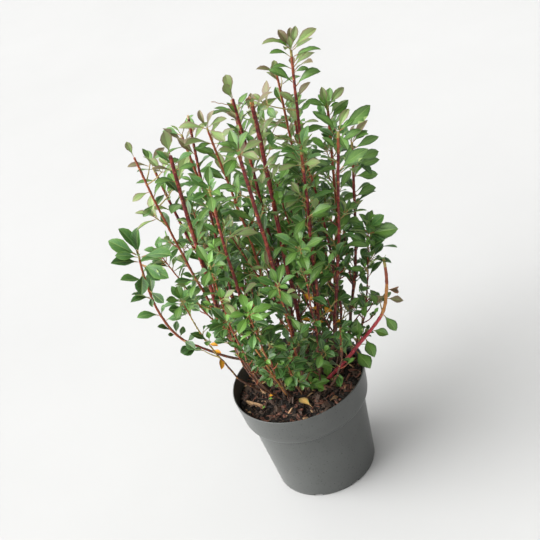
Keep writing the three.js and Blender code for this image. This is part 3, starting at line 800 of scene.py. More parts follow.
    def crown(self, stem, habit, dice):
        """What a stem ends in: a whorl, an upright leaf, a bud, a clean cut or a withered stump."""
        point, along, *_ = stem.at(stem.length)
        size = self.sizes.leaf_length / MM * habit.leaf_size * habit.top_size
        if habit.end == "whorl":
            shade = habit.rosette or self.shade_for(point[2], habit, dice)
            axis = unit(along + BARE_SIDE * np.interp(point[1], (-REAR_TOPS, REAR_TOPS), (1, 0)))
            self.whorl(stem.mass, point, axis, habit.top, size, shade, dice, spread=78, closed=20,
                       hiding=True)
            below = stem.at(stem.length - dice.uniform(17, 26))[0]
            self.whorl(stem.mass, below, along, habit.top // 2, size, shade, dice, spread=70, closed=52)
        elif habit.end == "leaf":
            for k in range(habit.top):
                direction = unit(along + 0.25 * k * np.array([(-1) ** k, 0.2, 0.1]))
                self.leaf(stem.mass, point - along * 3 * k, direction, BARE_SIDE, size * (0.8 - 0.12 * k),
                          "olive", dice, crowding=0, blunt=1.0)
        elif habit.end == "bud":
            self.whorl(stem.mass, point, along, habit.top, size, "young", dice, spread=30, closed=8)
        elif habit.end == "withered":
            self.whorl(stem.mass, point, along, 5, size * 0.34, "withered", dice, spread=50, closed=10,
                       curl=0.8, crowding=0)
            below = stem.at(stem.length - 9)[0]
            self.whorl(stem.mass, below, along, habit.top, size * 0.9, "bronze", dice, spread=50, closed=40)

    def lone_leaf(self, shade, size, place, dice):
        """A leaf that hangs from the nearest limb towards its place."""
        point, index, _ = self.limbs.find(Vector(place))
        base = np.array(point) + BARE_SIDE
        direction = unit(np.array(place) + 5 * BARE_SIDE - base - 4 * UP)
        face = unit(0.5 * UP + BARE_SIDE + 0.4 * dice.normal(0, 1, 3))
        mass = self.stems[self.owners[index]].mass
        self.leaf(mass, base, direction, face, size, shade, dice, DRY_CURLS.get(shade, 0.0), crowding=0)

    def spray(self, shade, size, count, place, dice):
        """A twig from the nearest limb below its place, with a whorl that opens there."""
        place = np.array(place, float)
        point, index, _ = self.limbs.find(Vector(place - 0.6 * size * UP))
        start = np.array(point)
        line = bezier(start, (start + place) / 2 - 3 * UP, place, 6)
        axis = unit(unit(place - start) + 0.6 * UP + 0.4 * BARE_SIDE)
        stem = self.stems[self.owners[index]]
        self.whorl(stem.mass, place, axis, count, size, shade, dice, spread=80, closed=25, hiding=True)
        self.twigs.append((line, np.linspace(*TWIG, len(line)), "green"))

    def branch_leaf(self, stem, shade, size, share, across, up, dice):
        """A leaf that points across and up as the eye sees it."""
        point, *_, radius = stem.at(share * stem.length)
        direction = unit(across * VIEW_RIGHT + up * VIEW_UP - 0.6 * VIEW_AHEAD)
        face = unit(0.6 * UP - VIEW_AHEAD + 0.3 * dice.normal(0, 1, 3))
        broad = np.interp(point[2], *CLEAR_LEAF_WIDTHS)
        curl = np.interp(point[2], *CLEAR_LEAF_CURLS)
        self.leaf(stem.mass, point + direction * radius * 0.6, direction, face, size, shade, dice, curl,
                  crowding=0, blunt=dice.uniform(0.2, 0.6), broad=broad)

    def fallen_leaf(self, shade, size, place, heading, ground, dice):
        """A dry leaf that lies curled on the mix."""
        hit = ground.ray_cast(Vector((*place, 2 * POT_HEIGHT)) * MM, Vector((0, 0, -1)))[0]
        base = np.array(hit) / MM + 5 * UP
        turn = math.radians(heading)
        direction = unit(np.array([math.cos(turn), math.sin(turn), 0.1]))
        self.leaf(LITTER_MASS, base, direction, unit(UP + 0.3 * BARE_SIDE), size, shade, dice, crowding=0)


def grow(sizes):
    """The whole clump by a seeded rule, grown alike each time: stems first, then spurs and leaves."""
    dice = np.random.default_rng(GROWTH_SEED)
    canes, shoots, arches, laterals = [], [], [], []
    for cane in CANES:
        line = swayed(stem_line(cane.knee, cane.tip), dice, CANE_SWAY)
        tip = cane.radius * KEPT_THICKNESS[cane.end]
        canes.append(Stem(cane.name, line, flared(line, cane.radius, tip), cane.bark, cane.end))
    for shoot in SHOOTS:
        line = swayed(stem_line(shoot.knee, shoot.tip), dice, SHOOT_SWAY)
        shoots.append(Stem("low_" + shoot.name, line, flared(line, SHOOT, FINE_TIP), shoot.bark, "whorl"))
    # The right arch's bark is crimson painted lighter, as painted light.
    for name, arch, bark in (("arch_left", LEFT_ARCH, "russet"), ("arch_right", RIGHT_ARCH, "rosy")):
        line = swayed(arch_line(arch), dice, ARCH_SWAY)
        tip = arch["radius"] * KEPT_THICKNESS["whorl"]
        arches.append(Stem(name, line, np.linspace(arch["radius"], tip, len(line)), bark, "whorl"))
    for cane in canes:
        line = lateral_line(cane, dice)
        radius = np.linspace(LATERAL, FINE_TIP, len(line))
        laterals.append(Stem(cane.mass, line, radius, cane.bark, "lateral"))
    growth = Growth(canes + shoots + arches + laterals, sizes)
    for shade, size, place in LONE_LEAVES:
        growth.lone_leaf(shade, size, place, dice)
    for shade, size, count, place in SPRAYS:
        growth.spray(shade, size, count, place, dice)
    named = {stem.mass: stem for stem in canes + shoots + arches}
    for mass, leaves in BRANCH_LEAVES.items():
        for shade, size, share, across, up in leaves:
            growth.branch_leaf(named[mass], shade, size, share, across, up, dice)
    habits = [
        Habit(start=0.35, leafy=0.25, upper=0.25, spurs=0.0, top=3, top_size=0.3, end="bud",
              shades=ARCH_SHADES),
        Habit(start=0.04, leafy=0.06, upper=0.0, spacing=1.4, top=3, top_size=0.3, end="bud"),
    ]
    habits += [Habit(start=0.16, leafy=shoot.leafy, upper=shoot.leafy, spur_span=0.8, spacing=0.85,
                     top_size=shoot.top_size, rosette=shoot.rosette) for shoot in SHOOTS]
    habits += [Habit(leafy=cane.leafy, upper=cane.upper, top=cane.top, end=cane.end,
                     top_size=TOP_SIZES.get(cane.name, WHORL_SIZE if cane.end == "whorl" else 1.0),
                     rosette="olive" if cane.tip[2] > OLIVE_TOPS else "mid",
                     bare_front=cane.tip[1] < REAR_TOPS) for cane in CANES]
    habits += [Habit(start=0.2, leafy=0.8, upper=0.9, spurs=0.2, spur_span=0.5, leaf_size=0.85, top=6)
               for _ in laterals]
    clothed = list(zip(arches + shoots + canes + laterals, habits))
    for i, (stem, habit) in enumerate(clothed):
        growth.crown(stem, habit, np.random.default_rng((GROWTH_SEED, i, 0)))
    for i, (stem, habit) in enumerate(clothed):
        growth.dress(stem, habit, np.random.default_rng((GROWTH_SEED, i, 1)))
    for radius, foot, top in STICKS:
        line = np.linspace(foot, top, 8) + dice.normal(0, 0.5, (8, 3))
        growth.twigs.append((line, np.linspace(radius, 0.8 * radius, 8), "dry"))
    return growth


# Meshes from arrays

class Heap:
    """Small shapes gathered into one mesh: corners in millimetres, faces, their slots and their map."""

    def __init__(self):
        self.corners, self.faces, self.slots, self.map, self.count = [], [], [], [], 0

    def add(self, corners, faces, slots):
        """Adds one shape, with one slot for all its faces or a list of slots."""
        self.corners.append(corners)
        self.faces.extend([[self.count + i for i in face] for face in faces])
        self.slots.extend(slots if isinstance(slots, list) else [slots] * len(faces))
        self.count += len(corners)

    def tube(self, line, radius, sides, slots):
        """A closed tube round a line, with one slot for each ring."""
        along = np.gradient(line, axis=0)
        along /= np.linalg.norm(along, axis=1)[:, None]
        start = np.array([1.0, 0, 0]) if abs(along[0, 0]) < 0.8 else np.array([0, 1.0, 0])
        across = start - along * (along @ start)[:, None]
        across /= np.linalg.norm(across, axis=1)[:, None]
        third = np.cross(along, across)
        turns = FULL_TURN * np.arange(sides) / sides
        ring = across[:, None] * np.cos(turns)[None, :, None] + third[:, None] * np.sin(turns)[None, :, None]
        corners = (line[:, None] + ring * np.asarray(radius)[:, None, None]).reshape(-1, 3)
        last = (len(line) - 1) * sides
        faces, tones = [], []
        for r in range(len(line) - 1):
            for k in range(sides):
                j = (k + 1) % sides
                faces.append((r * sides + k, r * sides + j, (r + 1) * sides + j, (r + 1) * sides + k))
                tones.append(slots[r])
        faces += [tuple(range(sides - 1, -1, -1)), tuple(range(last, last + sides))]
        self.add(corners, faces, tones + [slots[0], slots[-1]])

    def piece(self, name, materials, slot, smooth=True, crease=62):
        """The heap as one piece on the root, with edges kept sharp past the crease, in degrees."""
        mesh = bpy.data.meshes.new(name)
        mesh.from_pydata((np.vstack(self.corners) * MM).tolist(), [], self.faces)
        mesh.polygons.foreach_set("material_index", self.slots)
        mesh.polygons.foreach_set("use_smooth", [smooth] * len(self.faces))
        if self.map:
            layer = mesh.uv_layers.new(name=LEAF_MAP, do_init=False)
            layer.uv.foreach_set("vector", np.vstack(self.map).ravel())
        for material in materials:
            mesh.materials.append(material)
        mesh.update()
        mesh.set_sharp_from_angle(angle=math.radians(crease))
        made = bpy.data.objects.new(name, mesh)
        bpy.context.collection.objects.link(made)
        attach(made, "root")
        return made


# One leaf's template: stations along it, each with five corners over the blade and one under it. The half
# widths are those of an acute leaf and of a blunt one.
STATIONS = np.array([0.09, 0.22, 0.36, 0.5, 0.64, 0.79, 0.91])
ACUTE = np.array([0.075, 0.13, 0.46, 0.84, 1.0, 0.71, 0.31])
BLUNT = np.array([0.07, 0.08, 0.16, 0.48, 0.88, 1.0, 0.74])
BLADE = np.array([-1, -0.5, 0, 0.5, 1])
RING = len(BLADE) + 1

# The edge of a blade is waved: how high to its half width, and how fast along it.
RIPPLE, RIPPLE_RATE = 0.06, 9

# The leaves' map has one tile for each material, so that all leaves of a tint share their veins.
LEAF_MAP = "OFBake"
TILES = np.array([4, 3])
TILE_MARGIN = 0.05


def leaf_faces():
    """The faces of the template, split into quads and triangles, each with its kind of surface."""
    strips = [(0, 1, "top"), (1, 2, "top"), (2, 3, "top"), (3, 4, "top"), (4, 5, "under"), (5, 0, "under")]
    root, tip, first = 0, 1, 2
    quads, triangles = [], []
    for a, b, kind in strips:
        triangles.append(((root, first + b, first + a), "stalk"))
        for s in range(len(STATIONS) - 1):
            low, high = first + s * RING, first + (s + 1) * RING
            quads.append(((low + a, low + b, high + b, high + a), "stalk" if s == 0 else kind))
        end = first + (len(STATIONS) - 1) * RING
        triangles.append(((tip, end + a, end + b), kind))
    return quads, triangles


def leaf_corners(leaves, sizes):
    """Corners of many leaves at once: arched midribs, folded and waved blades."""
    base, direction, side, face = (np.array([getattr(leaf, name) for leaf in leaves])
                                   for name in ("base", "direction", "side", "face"))
    size, ratio, rise, bend, fold, twist, wave, blunt = (
        np.array([getattr(leaf, name) for leaf in leaves])[:, None]
        for name in ("size", "ratio", "rise", "bend", "fold", "twist", "wave", "blunt"))
    shares = np.concatenate([[0], STATIONS, [1]])
    slope = rise - bend * shares[None] ** 1.3
    steps = np.diff(shares)[None] * size
    middle = (slope[:, 1:] + slope[:, :-1]) / 2
    ahead = np.concatenate([np.zeros_like(size), np.cumsum(np.cos(middle) * steps, axis=1)], axis=1)
    lift = np.concatenate([np.zeros_like(size), np.cumsum(np.sin(middle) * steps, axis=1)], axis=1)
    thickness = sizes.leaf_thickness / MM

    def place(station, across, down):
        turned = twist * shares[station]
        blade = 0 < station <= len(STATIONS)
        width = ACUTE[station - 1] + blunt * (BLUNT - ACUTE)[station - 1] if blade else 0
        half = 0.5 * ratio * size * width
        ripple = RIPPLE * np.sin(wave + RIPPLE_RATE * shares[station]) * abs(across)
        out, raised = half * across, half * (fold * abs(across) ** 0.85 + ripple) - down
        sine, cosine = np.sin(turned), np.cos(turned)
        out, raised = out * cosine - raised * sine, out * sine + raised * cosine
        lean = slope[:, [station]]
        return (base + direction * (ahead[:, [station]] - raised * np.sin(lean)) + side * out
                + face * (lift[:, [station]] + raised * np.cos(lean)))

    corners = [place(0, 0, 0), place(len(shares) - 1, 0, 0)]
    for station in range(1, len(STATIONS) + 1):
        corners += [place(station, across, 0) for across in BLADE]
        corners.append(place(station, 0, thickness * (1.4 if station < 3 else 0.8)))
    return np.stack(corners, axis=1)


def leaf_places():
    """Each corner's place on the leaf, across and along, from 0 to 1."""
    rings = [((across + 1) / 2, share) for share in STATIONS for across in (*BLADE, 0)]
    return np.array([(0.5, 0), (0.5, 1), *rings])


def leaves_heap(leaves, sizes):
    """Many leaves as one heap, each face with its tint, or the slot of the underside or the stalk."""
    heap = Heap()
    corners = leaf_corners(leaves, sizes)
    per_leaf = corners.shape[1]
    heap.corners.append(corners.reshape(-1, 3))
    fixed = {"under": UNDERSIDE_SLOT, "stalk": STALK_SLOT}
    tints = np.array([leaf.tint for leaf in leaves])
    offsets = per_leaf * np.arange(len(leaves))[:, None, None]
    within = TILE_MARGIN + (1 - 2 * TILE_MARGIN) * leaf_places()
    for group in leaf_faces():
        template = np.array([face for face, _ in group])
        faces = template[None] + offsets
        heap.faces.extend(faces.reshape(-1, faces.shape[2]).tolist())
        slots = np.array([[fixed.get(kind, -1) for _, kind in group]]).repeat(len(leaves), axis=0)
        slots = np.where(slots < 0, tints[:, None], slots)
        heap.slots.extend(slots.reshape(-1).tolist())
        tiles = np.stack([slots % TILES[0], slots // TILES[0]], axis=-1)
        heap.map.append(((tiles[:, :, None] + within[template][None]) / TILES).reshape(-1, 2))
    return heap


# Materials

# Bark, leaf wax, peat and plain plastics all bend light about as much. The rest is how far the gloss drifts
# to either side, how soft the edge of a speckle is, how many side veins a leaf's length would hold, how far
# forward they sweep, and how many blotches a leaf's length holds, each about 12 mm on a full-grown one.
PLAIN_IOR = 1.45
GLOSS_DRIFT, LEAF_GLOSS_DRIFT = 0.06, 0.08
SPECK_EDGE = 0.06
VEIN_COUNT = 9.0
VEIN_SWEEP = -0.22
BLOTCHES = 3.5


def add_node(tree, kind, inputs=None, **options):
    """One node with its settings, its constants and its links."""
    made = tree.nodes.new(kind)
    for name, value in options.items():
        setattr(made, name, value)
    for name, value in (inputs or {}).items():
        socket = made.inputs[name]
        if isinstance(value, bpy.types.NodeSocket):
            tree.links.new(value, socket)
        else:
            socket.default_value = value
    return made


def new_tree(name):
    material = bpy.data.materials.new(name)
    material.use_nodes = True
    material.node_tree.nodes.clear()
    return material, material.node_tree


def opaque(colour):
    return (*colour, 1.0)


def scaled(colour, factor):
    return tuple(min(1.0, c * factor) for c in colour)


def grained(name, colours, patch, relief, roughness, grit=None, speckle=None):
    """A matt or glossy surface whose colour drifts over patches of a real size, with fine relief.

    The sizes are in millimetres: patch for the colour, grit and relief for the bump. A speckle has a size, a
    tone, how much of the tone it shows and how high the noise has to rise for it.
    """
    material, tree = new_tree(name)
    place = add_node(tree, "ShaderNodeTexCoord").outputs["Object"]
    drift = add_node(tree, "ShaderNodeTexNoise", {
        "Vector": place, "Scale": 1 / (patch * MM), "Detail": 4.0, "Roughness": 0.6}).outputs["Fac"]
    ramp = add_node(tree, "ShaderNodeValToRGB", {"Fac": drift})
    ramp.color_ramp.elements[0].position = 0.3
    ramp.color_ramp.elements[1].position = 0.7
    ramp.color_ramp.elements[0].color = opaque(colours[0])
    ramp.color_ramp.elements[1].color = opaque(colours[-1])
    if len(colours) == 3:
        ramp.color_ramp.elements.new(0.5).color = opaque(colours[1])
    colour = ramp.outputs["Color"]
    if speckle:
        size, tone, amount, threshold = speckle
        specks = add_node(tree, "ShaderNodeTexNoise", {
            "Vector": place, "Scale": 1 / (size * MM), "Detail": 2.0}).outputs["Fac"]
        share = add_node(tree, "ShaderNodeMapRange", {
            "Value": specks, "From Min": threshold, "From Max": threshold + SPECK_EDGE,
            "To Max": amount}).outputs["Result"]
        colour = add_node(tree, "ShaderNodeMix", {"Factor": share, "A": colour, "B": opaque(tone)},
                          data_type="RGBA").outputs["Result"]
    fine = add_node(tree, "ShaderNodeTexNoise", {
        "Vector": place, "Scale": 1 / ((grit or patch / 4) * MM), "Detail": 3.0}).outputs["Fac"]
    bump = add_node(tree, "ShaderNodeBump", {"Height": fine, "Strength": 0.5, "Distance": relief * MM})
    gloss = add_node(tree, "ShaderNodeMapRange", {
        "Value": drift, "To Min": roughness - GLOSS_DRIFT,
        "To Max": roughness + GLOSS_DRIFT}).outputs["Result"]
    shader = add_node(tree, "ShaderNodeBsdfPrincipled", {
        "Base Color": colour, "Roughness": gloss, "Normal": bump.outputs["Normal"], "IOR": PLAIN_IOR})
    add_node(tree, "ShaderNodeOutputMaterial", {"Surface": shader.outputs["BSDF"]})
    return material


def leaf_skin(name, body, edge, vein, tile, roughness, wax):
    """A leaf's skin on its own map: mottled flesh, a flushed edge and sunken paler veins."""
    material, tree = new_tree(name)
    inner = 1 - 2 * TILE_MARGIN
    origin = (np.array([tile % TILES[0], tile // TILES[0]]) + TILE_MARGIN) / inner
    own = add_node(tree, "ShaderNodeMapping", {
        "Vector": add_node(tree, "ShaderNodeUVMap", uv_map=LEAF_MAP).outputs["UV"],
        "Location": (-origin[0], -origin[1], 0), "Scale": (TILES[0] / inner, TILES[1] / inner, 1)})
    place = add_node(tree, "ShaderNodeSeparateXYZ", {"Vector": own.outputs["Vector"]}).outputs
    centred = add_node(tree, "ShaderNodeMath", {0: place["X"], 1: 2.0, 2: -1.0}, operation="MULTIPLY_ADD")
    across = add_node(tree, "ShaderNodeMath", {0: centred.outputs[0]}, operation="ABSOLUTE").outputs[0]
    midrib = add_node(tree, "ShaderNodeMapRange", {
        "Value": across, "From Min": 0.02, "From Max": 0.12, "To Min": 0.5, "To Max": 0.0}).outputs["Result"]
    # Side veins run forward to the edge, six to seven pairs on the blade.
    swept = add_node(tree, "ShaderNodeMath", {
        0: across, 1: VEIN_SWEEP, 2: place["Y"]}, operation="MULTIPLY_ADD").outputs[0]
    beat = add_node(tree, "ShaderNodeMath", {0: swept, 1: VEIN_COUNT}, operation="MULTIPLY").outputs[0]
    wave = add_node(tree, "ShaderNodeMath", {0: beat, 1: 0.5}, operation="PINGPONG").outputs[0]
    ribs = add_node(tree, "ShaderNodeMapRange", {
        "Value": wave, "From Min": 0.0, "From Max": 0.17, "To Min": 0.16, "To Max": 0.0}).outputs["Result"]
    veins = add_node(tree, "ShaderNodeMath", {0: midrib, 1: ribs}, operation="MAXIMUM").outputs[0]
    drift = add_node(tree, "ShaderNodeTexNoise", {
        "Vector": own.outputs["Vector"], "Scale": BLOTCHES, "Detail": 4.0, "Roughness": 0.6}).outputs["Fac"]
    flesh = add_node(tree, "ShaderNodeMix", {
        "Factor": drift, "A": opaque(scaled(body, 0.74)), "B": opaque(scaled(body, 1.26))}, data_type="RGBA")
    towards_tip = add_node(tree, "ShaderNodeMath", {0: place["Y"], 1: 0.78}, operation="MULTIPLY").outputs[0]
    outer = add_node(tree, "ShaderNodeMath", {0: across, 1: towards_tip}, operation="MAXIMUM").outputs[0]
    blotched = add_node(tree, "ShaderNodeMath", {0: drift, 1: 0.8, 2: outer}, operation="MULTIPLY_ADD")
    flush = add_node(tree, "ShaderNodeMapRange", {
        "Value": blotched.outputs[0], "From Min": 0.85, "From Max": 1.4, "To Max": 0.9}).outputs["Result"]
    flushed = add_node(tree, "ShaderNodeMix", {
        "Factor": flush, "A": flesh.outputs["Result"], "B": opaque(edge)}, data_type="RGBA")
    skin = add_node(tree, "ShaderNodeMix", {
        "Factor": veins, "A": flushed.outputs["Result"], "B": opaque(vein)}, data_type="RGBA")
    bump = add_node(tree, "ShaderNodeBump", {
        "Height": veins, "Strength": 0.5, "Distance": 0.4 * MM}, invert=True)
    gloss = add_node(tree, "ShaderNodeMapRange", {
        "Value": drift, "To Min": roughness - LEAF_GLOSS_DRIFT,
        "To Max": roughness + LEAF_GLOSS_DRIFT}).outputs["Result"]
    shader = add_node(tree, "ShaderNodeBsdfPrincipled", {
        "Base Color": skin.outputs["Result"], "Roughness": gloss, "Normal": bump.outputs["Normal"],
        "IOR": PLAIN_IOR, "Coat Weight": wax, "Coat Roughness": 0.42})
    add_node(tree, "ShaderNodeOutputMaterial", {"Surface": shader.outputs["BSDF"]})
    return material


def leaf_materials(colours):
    """Leaf blades: a thin waxy skin over green flesh gives a soft broad sheen. Dry leaves have lost it."""
    tone = {name: tuple(getattr(colours, "leaf_" + name))
            for name in (*TINTS, "mauve", "amber", "rib", "stalk", "underside")}
    edges = {
        "mid": "deep", "deep": "jade", "young": "mid", "olive": "mauve", "jade": "mid", "bronze": "mauve",
        "autumn": "amber", "withered": "stalk", "straw": "withered", "underside": "rib", "stalk": "rib",
    }
    made = []
    for slot, name in enumerate([*TINTS, "underside", "stalk"]):
        dry = name in ("autumn", "withered", "straw", "underside", "stalk")
        vein = scaled(tone[name], 1.25) if dry else tone["rib"]
        made.append(leaf_skin("leaf_" + name, tone[name], tone[edges[name]], vein, tile=slot,
                              roughness=0.6 if dry else 0.4, wax=0.0 if dry else 0.18))
    return made


def bark_materials(colours):
    """Young bark: thin and smooth, with a waxy gloss and faint corky flecks; old bark is dull and cracked."""
    made = []
    tone = {name: tuple(getattr(colours, "bark_" + name)) for name in BARKS[:-1]}
    streaks = {"crimson": ("wine", "russet"), "wine": ("wine", "russet"), "rosy": ("crimson", "rosy")}
    for name, base in tone.items():
        dark, light = (tone[other] for other in streaks.get(name, (name, name)))
        rough = 0.8 if name in ("old", "dry") else 0.38
        made.append(grained("bark_" + name, [scaled(dark, 0.6), base, scaled(light, 1.3)], patch=5,
                            relief=0.3, roughness=rough, grit=0.9,
                            speckle=(1.3, scaled(base, 2.0), 0.5, 0.62)))
    cut = tuple(colours.cut_wood)
    made.append(grained("cut_wood", [scaled(cut, 0.8), cut], patch=1.5, relief=0.2, roughness=0.85))
    return made


# Pieces

def start_afresh():
    """Back to object mode with nothing selected."""
    if bpy.context.mode != "OBJECT":
        bpy.ops.object.mode_set(mode="OBJECT")
    bpy.ops.object.select_all(action="DESELECT")


def turned_shell(name, profile, segments):
    """A closed shell drawn up ring by ring from a disc, as (radius, height) in millimetres."""
    start_afresh()
    radius, height = profile[0]
    bpy.ops.mesh.primitive_circle_add(
        vertices=segments, radius=radius * MM, fill_type="NGON", location=(0, 0, height * MM))
    shell = bpy.context.active_object
    shell.name = shell.data.name = name
    bpy.ops.object.transform_apply(location=True, rotation=False, scale=False)
    bpy.ops.object.mode_set(mode="EDIT")
    bpy.ops.mesh.select_all(action="SELECT")
    for (r0, z0), (r1, z1) in zip(profile, profile[1:]):
        bpy.ops.mesh.extrude_region_move(TRANSFORM_OT_translate={"value": (0, 0, (z1 - z0) * MM)})
        bpy.ops.transform.resize(value=(r1 / r0, r1 / r0, 1), center_override=(0, 0, z1 * MM))
    bpy.ops.mesh.select_all(action="SELECT")
    bpy.ops.mesh.normals_make_consistent(inside=False)
    bpy.ops.object.mode_set(mode="OBJECT")
    return shell


def apply_modifier(piece, kind, **options):
    """One modifier with its settings, applied to the piece."""
    bpy.context.view_layer.objects.active = piece
    made = piece.modifiers.new(kind.lower(), kind)
    for name, value in options.items():
        setattr(made, name, value)
    bpy.ops.object.modifier_apply(modifier=made.name)


def cloud_texture(name, millimetres):
    """Soft lumps of a real size, for a displacement."""
    made = bpy.data.textures.new(name, "CLOUDS")
    made.noise_scale = millimetres * MM
    made.noise_depth = 3
    return made


def ground_of(context):
    """The top of the mix, for what lies on it."""
    return BVHTree.FromObject(bpy.data.objects["potting_mix"], context.evaluated_depsgraph_get())


# The pot's wall, as (radius, height): up the outside, over the rolled lip and down the inside. The drain
# slots round its foot are cut with rounded boxes, whose sizes and ring are in metres.
POT_PROFILE = [
    (70.5, 0), (71.7, 0.5), (72.4, 1.8), (72.9, 7), (80, 84), (82.9, 117.0),
    (83.0, 118.2), (84.7, 118.6), (86.6, 119.5), (88.6, 121.1), (90.1, 123.4), (91.0, 126.6), (91.5, 131),
    (94.6, 161.6), (94.95, 163.4), (94.95, 164.4), (94.5, 164.95), (93.9, 165), (93.4, 164.7), (93.2, 163.8),
    (89.7, 126), (87.2, 122.4), (82.4, 120), (81.4, 116), (71.2, 2),
]
POT_SEGMENTS = 96
DRAIN_SLOTS = 8
SLOT_BOX = (0.009, 0.012, 0.007)
SLOT_RING = 0.0725
SLOT_ROUNDING = 0.0012


class SHRUB_OT_pot(bpy.types.Operator):
    """Add the moulded nursery pot"""
    bl_idname = "shrub.pot"
    bl_label = "Nursery Pot"

    def execute(self, context):
        _, colours = settings(context)
        pot = turned_shell("nursery_pot", POT_PROFILE, POT_SEGMENTS)
        start_afresh()
        for i in range(DRAIN_SLOTS):
            angle = FULL_TURN * (i + 0.5) / DRAIN_SLOTS
            bpy.ops.mesh.primitive_cube_add(
                size=1, scale=SLOT_BOX, rotation=(0, 0, angle),
                location=(SLOT_RING * math.cos(angle), SLOT_RING * math.sin(angle), 0))
            cutter = context.active_object
            apply_modifier(cutter, "BEVEL", width=SLOT_ROUNDING, segments=2)
            apply_modifier(pot, "BOOLEAN", object=cutter, operation="DIFFERENCE", solver="EXACT")
            bpy.data.objects.remove(cutter)
        start_afresh()
        pot.select_set(True)
        context.view_layer.objects.active = pot
        bpy.ops.object.shade_smooth_by_angle(angle=math.radians(32))
        grey = tuple(colours.pot_grey)
        # Moulded polypropylene: a satin grey skin with a faint grain, dulled and flecked by soil.
        pot.data.materials.clear()
        pot.data.materials.append(grained(
            "moulded_polypropylene", [scaled(grey, 0.9), grey, scaled(grey, 1.08)], patch=45, relief=0.08,
            roughness=0.34, grit=0.8, speckle=(2.4, scaled(grey, 0.35), 0.8, 0.64)))
        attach(pot, "root")
        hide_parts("pot")
        return {"FINISHED"}


class ChipSort(NamedTuple):
    """One sort of chip in the mix: half lengths, widths to lengths, thicknesses to widths and tones."""
    count: int
    span: tuple
    slimness: tuple
    thickness: tuple
    tones: dict


# Crumbs, splinters and flakes. One long splinter lies in sight at the left.
CHIP_SORTS = [
    ChipSort(1500, (1.0, 3.4), (0.4, 0.95), (0.3, 0.8),
             {"black": 0.62, "weathered": 0.28, "torn": 0.1}),
    ChipSort(480, (4.5, 13), (0.08, 0.2), (0.3, 0.7),
             {"black": 0.4, "weathered": 0.36, "torn": 0.18, "fresh": 0.06}),
    ChipSort(420, (4, 10), (0.35, 0.75), (0.1, 0.24),
             {"weathered": 0.42, "torn": 0.3, "black": 0.24, "fresh": 0.04}),
]
LONG_SPLINTER = {"middle": (-70, -8), "span": 17, "slimness": 0.2, "thickness": 0.8, "heading": -0.6}
CHIPS = ["weathered", "torn", "fresh", "black"]
CHIP_SLOPE = 0.38

# The plug of mix, as (radius, height): up its side, and in rings over its top. What lies above the edge is
# heaved up and down. The edge and the height of the heaps are in metres, their size in millimetres.
PLUG_SIDE = [(70.4, 2.5), (80.8, 116), (86.6, 123.4), (90.6, 143.6)]
PLUG_TOP = [(radius, 146.5) for radius in range(86, 5, -4)]
PLUG_EDGE = 0.145
HEAP_HEIGHT, HEAP_SIZE = 0.012, 24

# The middles of chips lie out to the first radius, and long chips lie so far in that they end at the second.
CHIP_RING, CHIP_LIMIT = 89, 90.5


def chip(heap, middle, span, slimness, thickness, heading, slope, tone, ground, dice):
    """One flake with a ragged outline, laid on the ground."""
    sides = int(dice.integers(5, 8))
    turns = (np.arange(sides) + dice.uniform(0, 0.6, sides)) * FULL_TURN / sides
    outline = np.stack([np.cos(turns) * span, np.sin(turns) * span * slimness, np.zeros(sides)], axis=1)
    outline *= dice.uniform(0.7, 1.1, sides)[:, None]
    thick = max(0.5, 2 * span * slimness * thickness)
    upper = outline * [0.85, 0.75, 1] + [0, 0, thick * 0.5]
    upper[:, 2] += dice.uniform(-0.2, 0.2, sides) * thick
    tilt = Matrix.Rotation(heading, 3, "Z") @ Matrix.Rotation(slope[0], 3, "X")
    turn = tilt @ Matrix.Rotation(slope[1], 3, "Y")
    hit = ground.ray_cast(Vector((*middle, 2 * POT_HEIGHT)) * MM, Vector((0, 0, -1)))[0]
    lift = hit.z / MM + 0.35 * thick + 0.4 * span * abs(math.sin(slope[1]))
    corners = np.vstack([outline - [0, 0, thick * 0.5], upper]) @ np.array(turn).T + [*middle, lift]
    faces = [tuple(range(sides - 1, -1, -1)), tuple(range(sides, 2 * sides))]
    faces += [(k, (k + 1) % sides, sides + (k + 1) % sides, sides + k) for k in range(sides)]
    heap.add(corners, faces, CHIPS.index(tone))


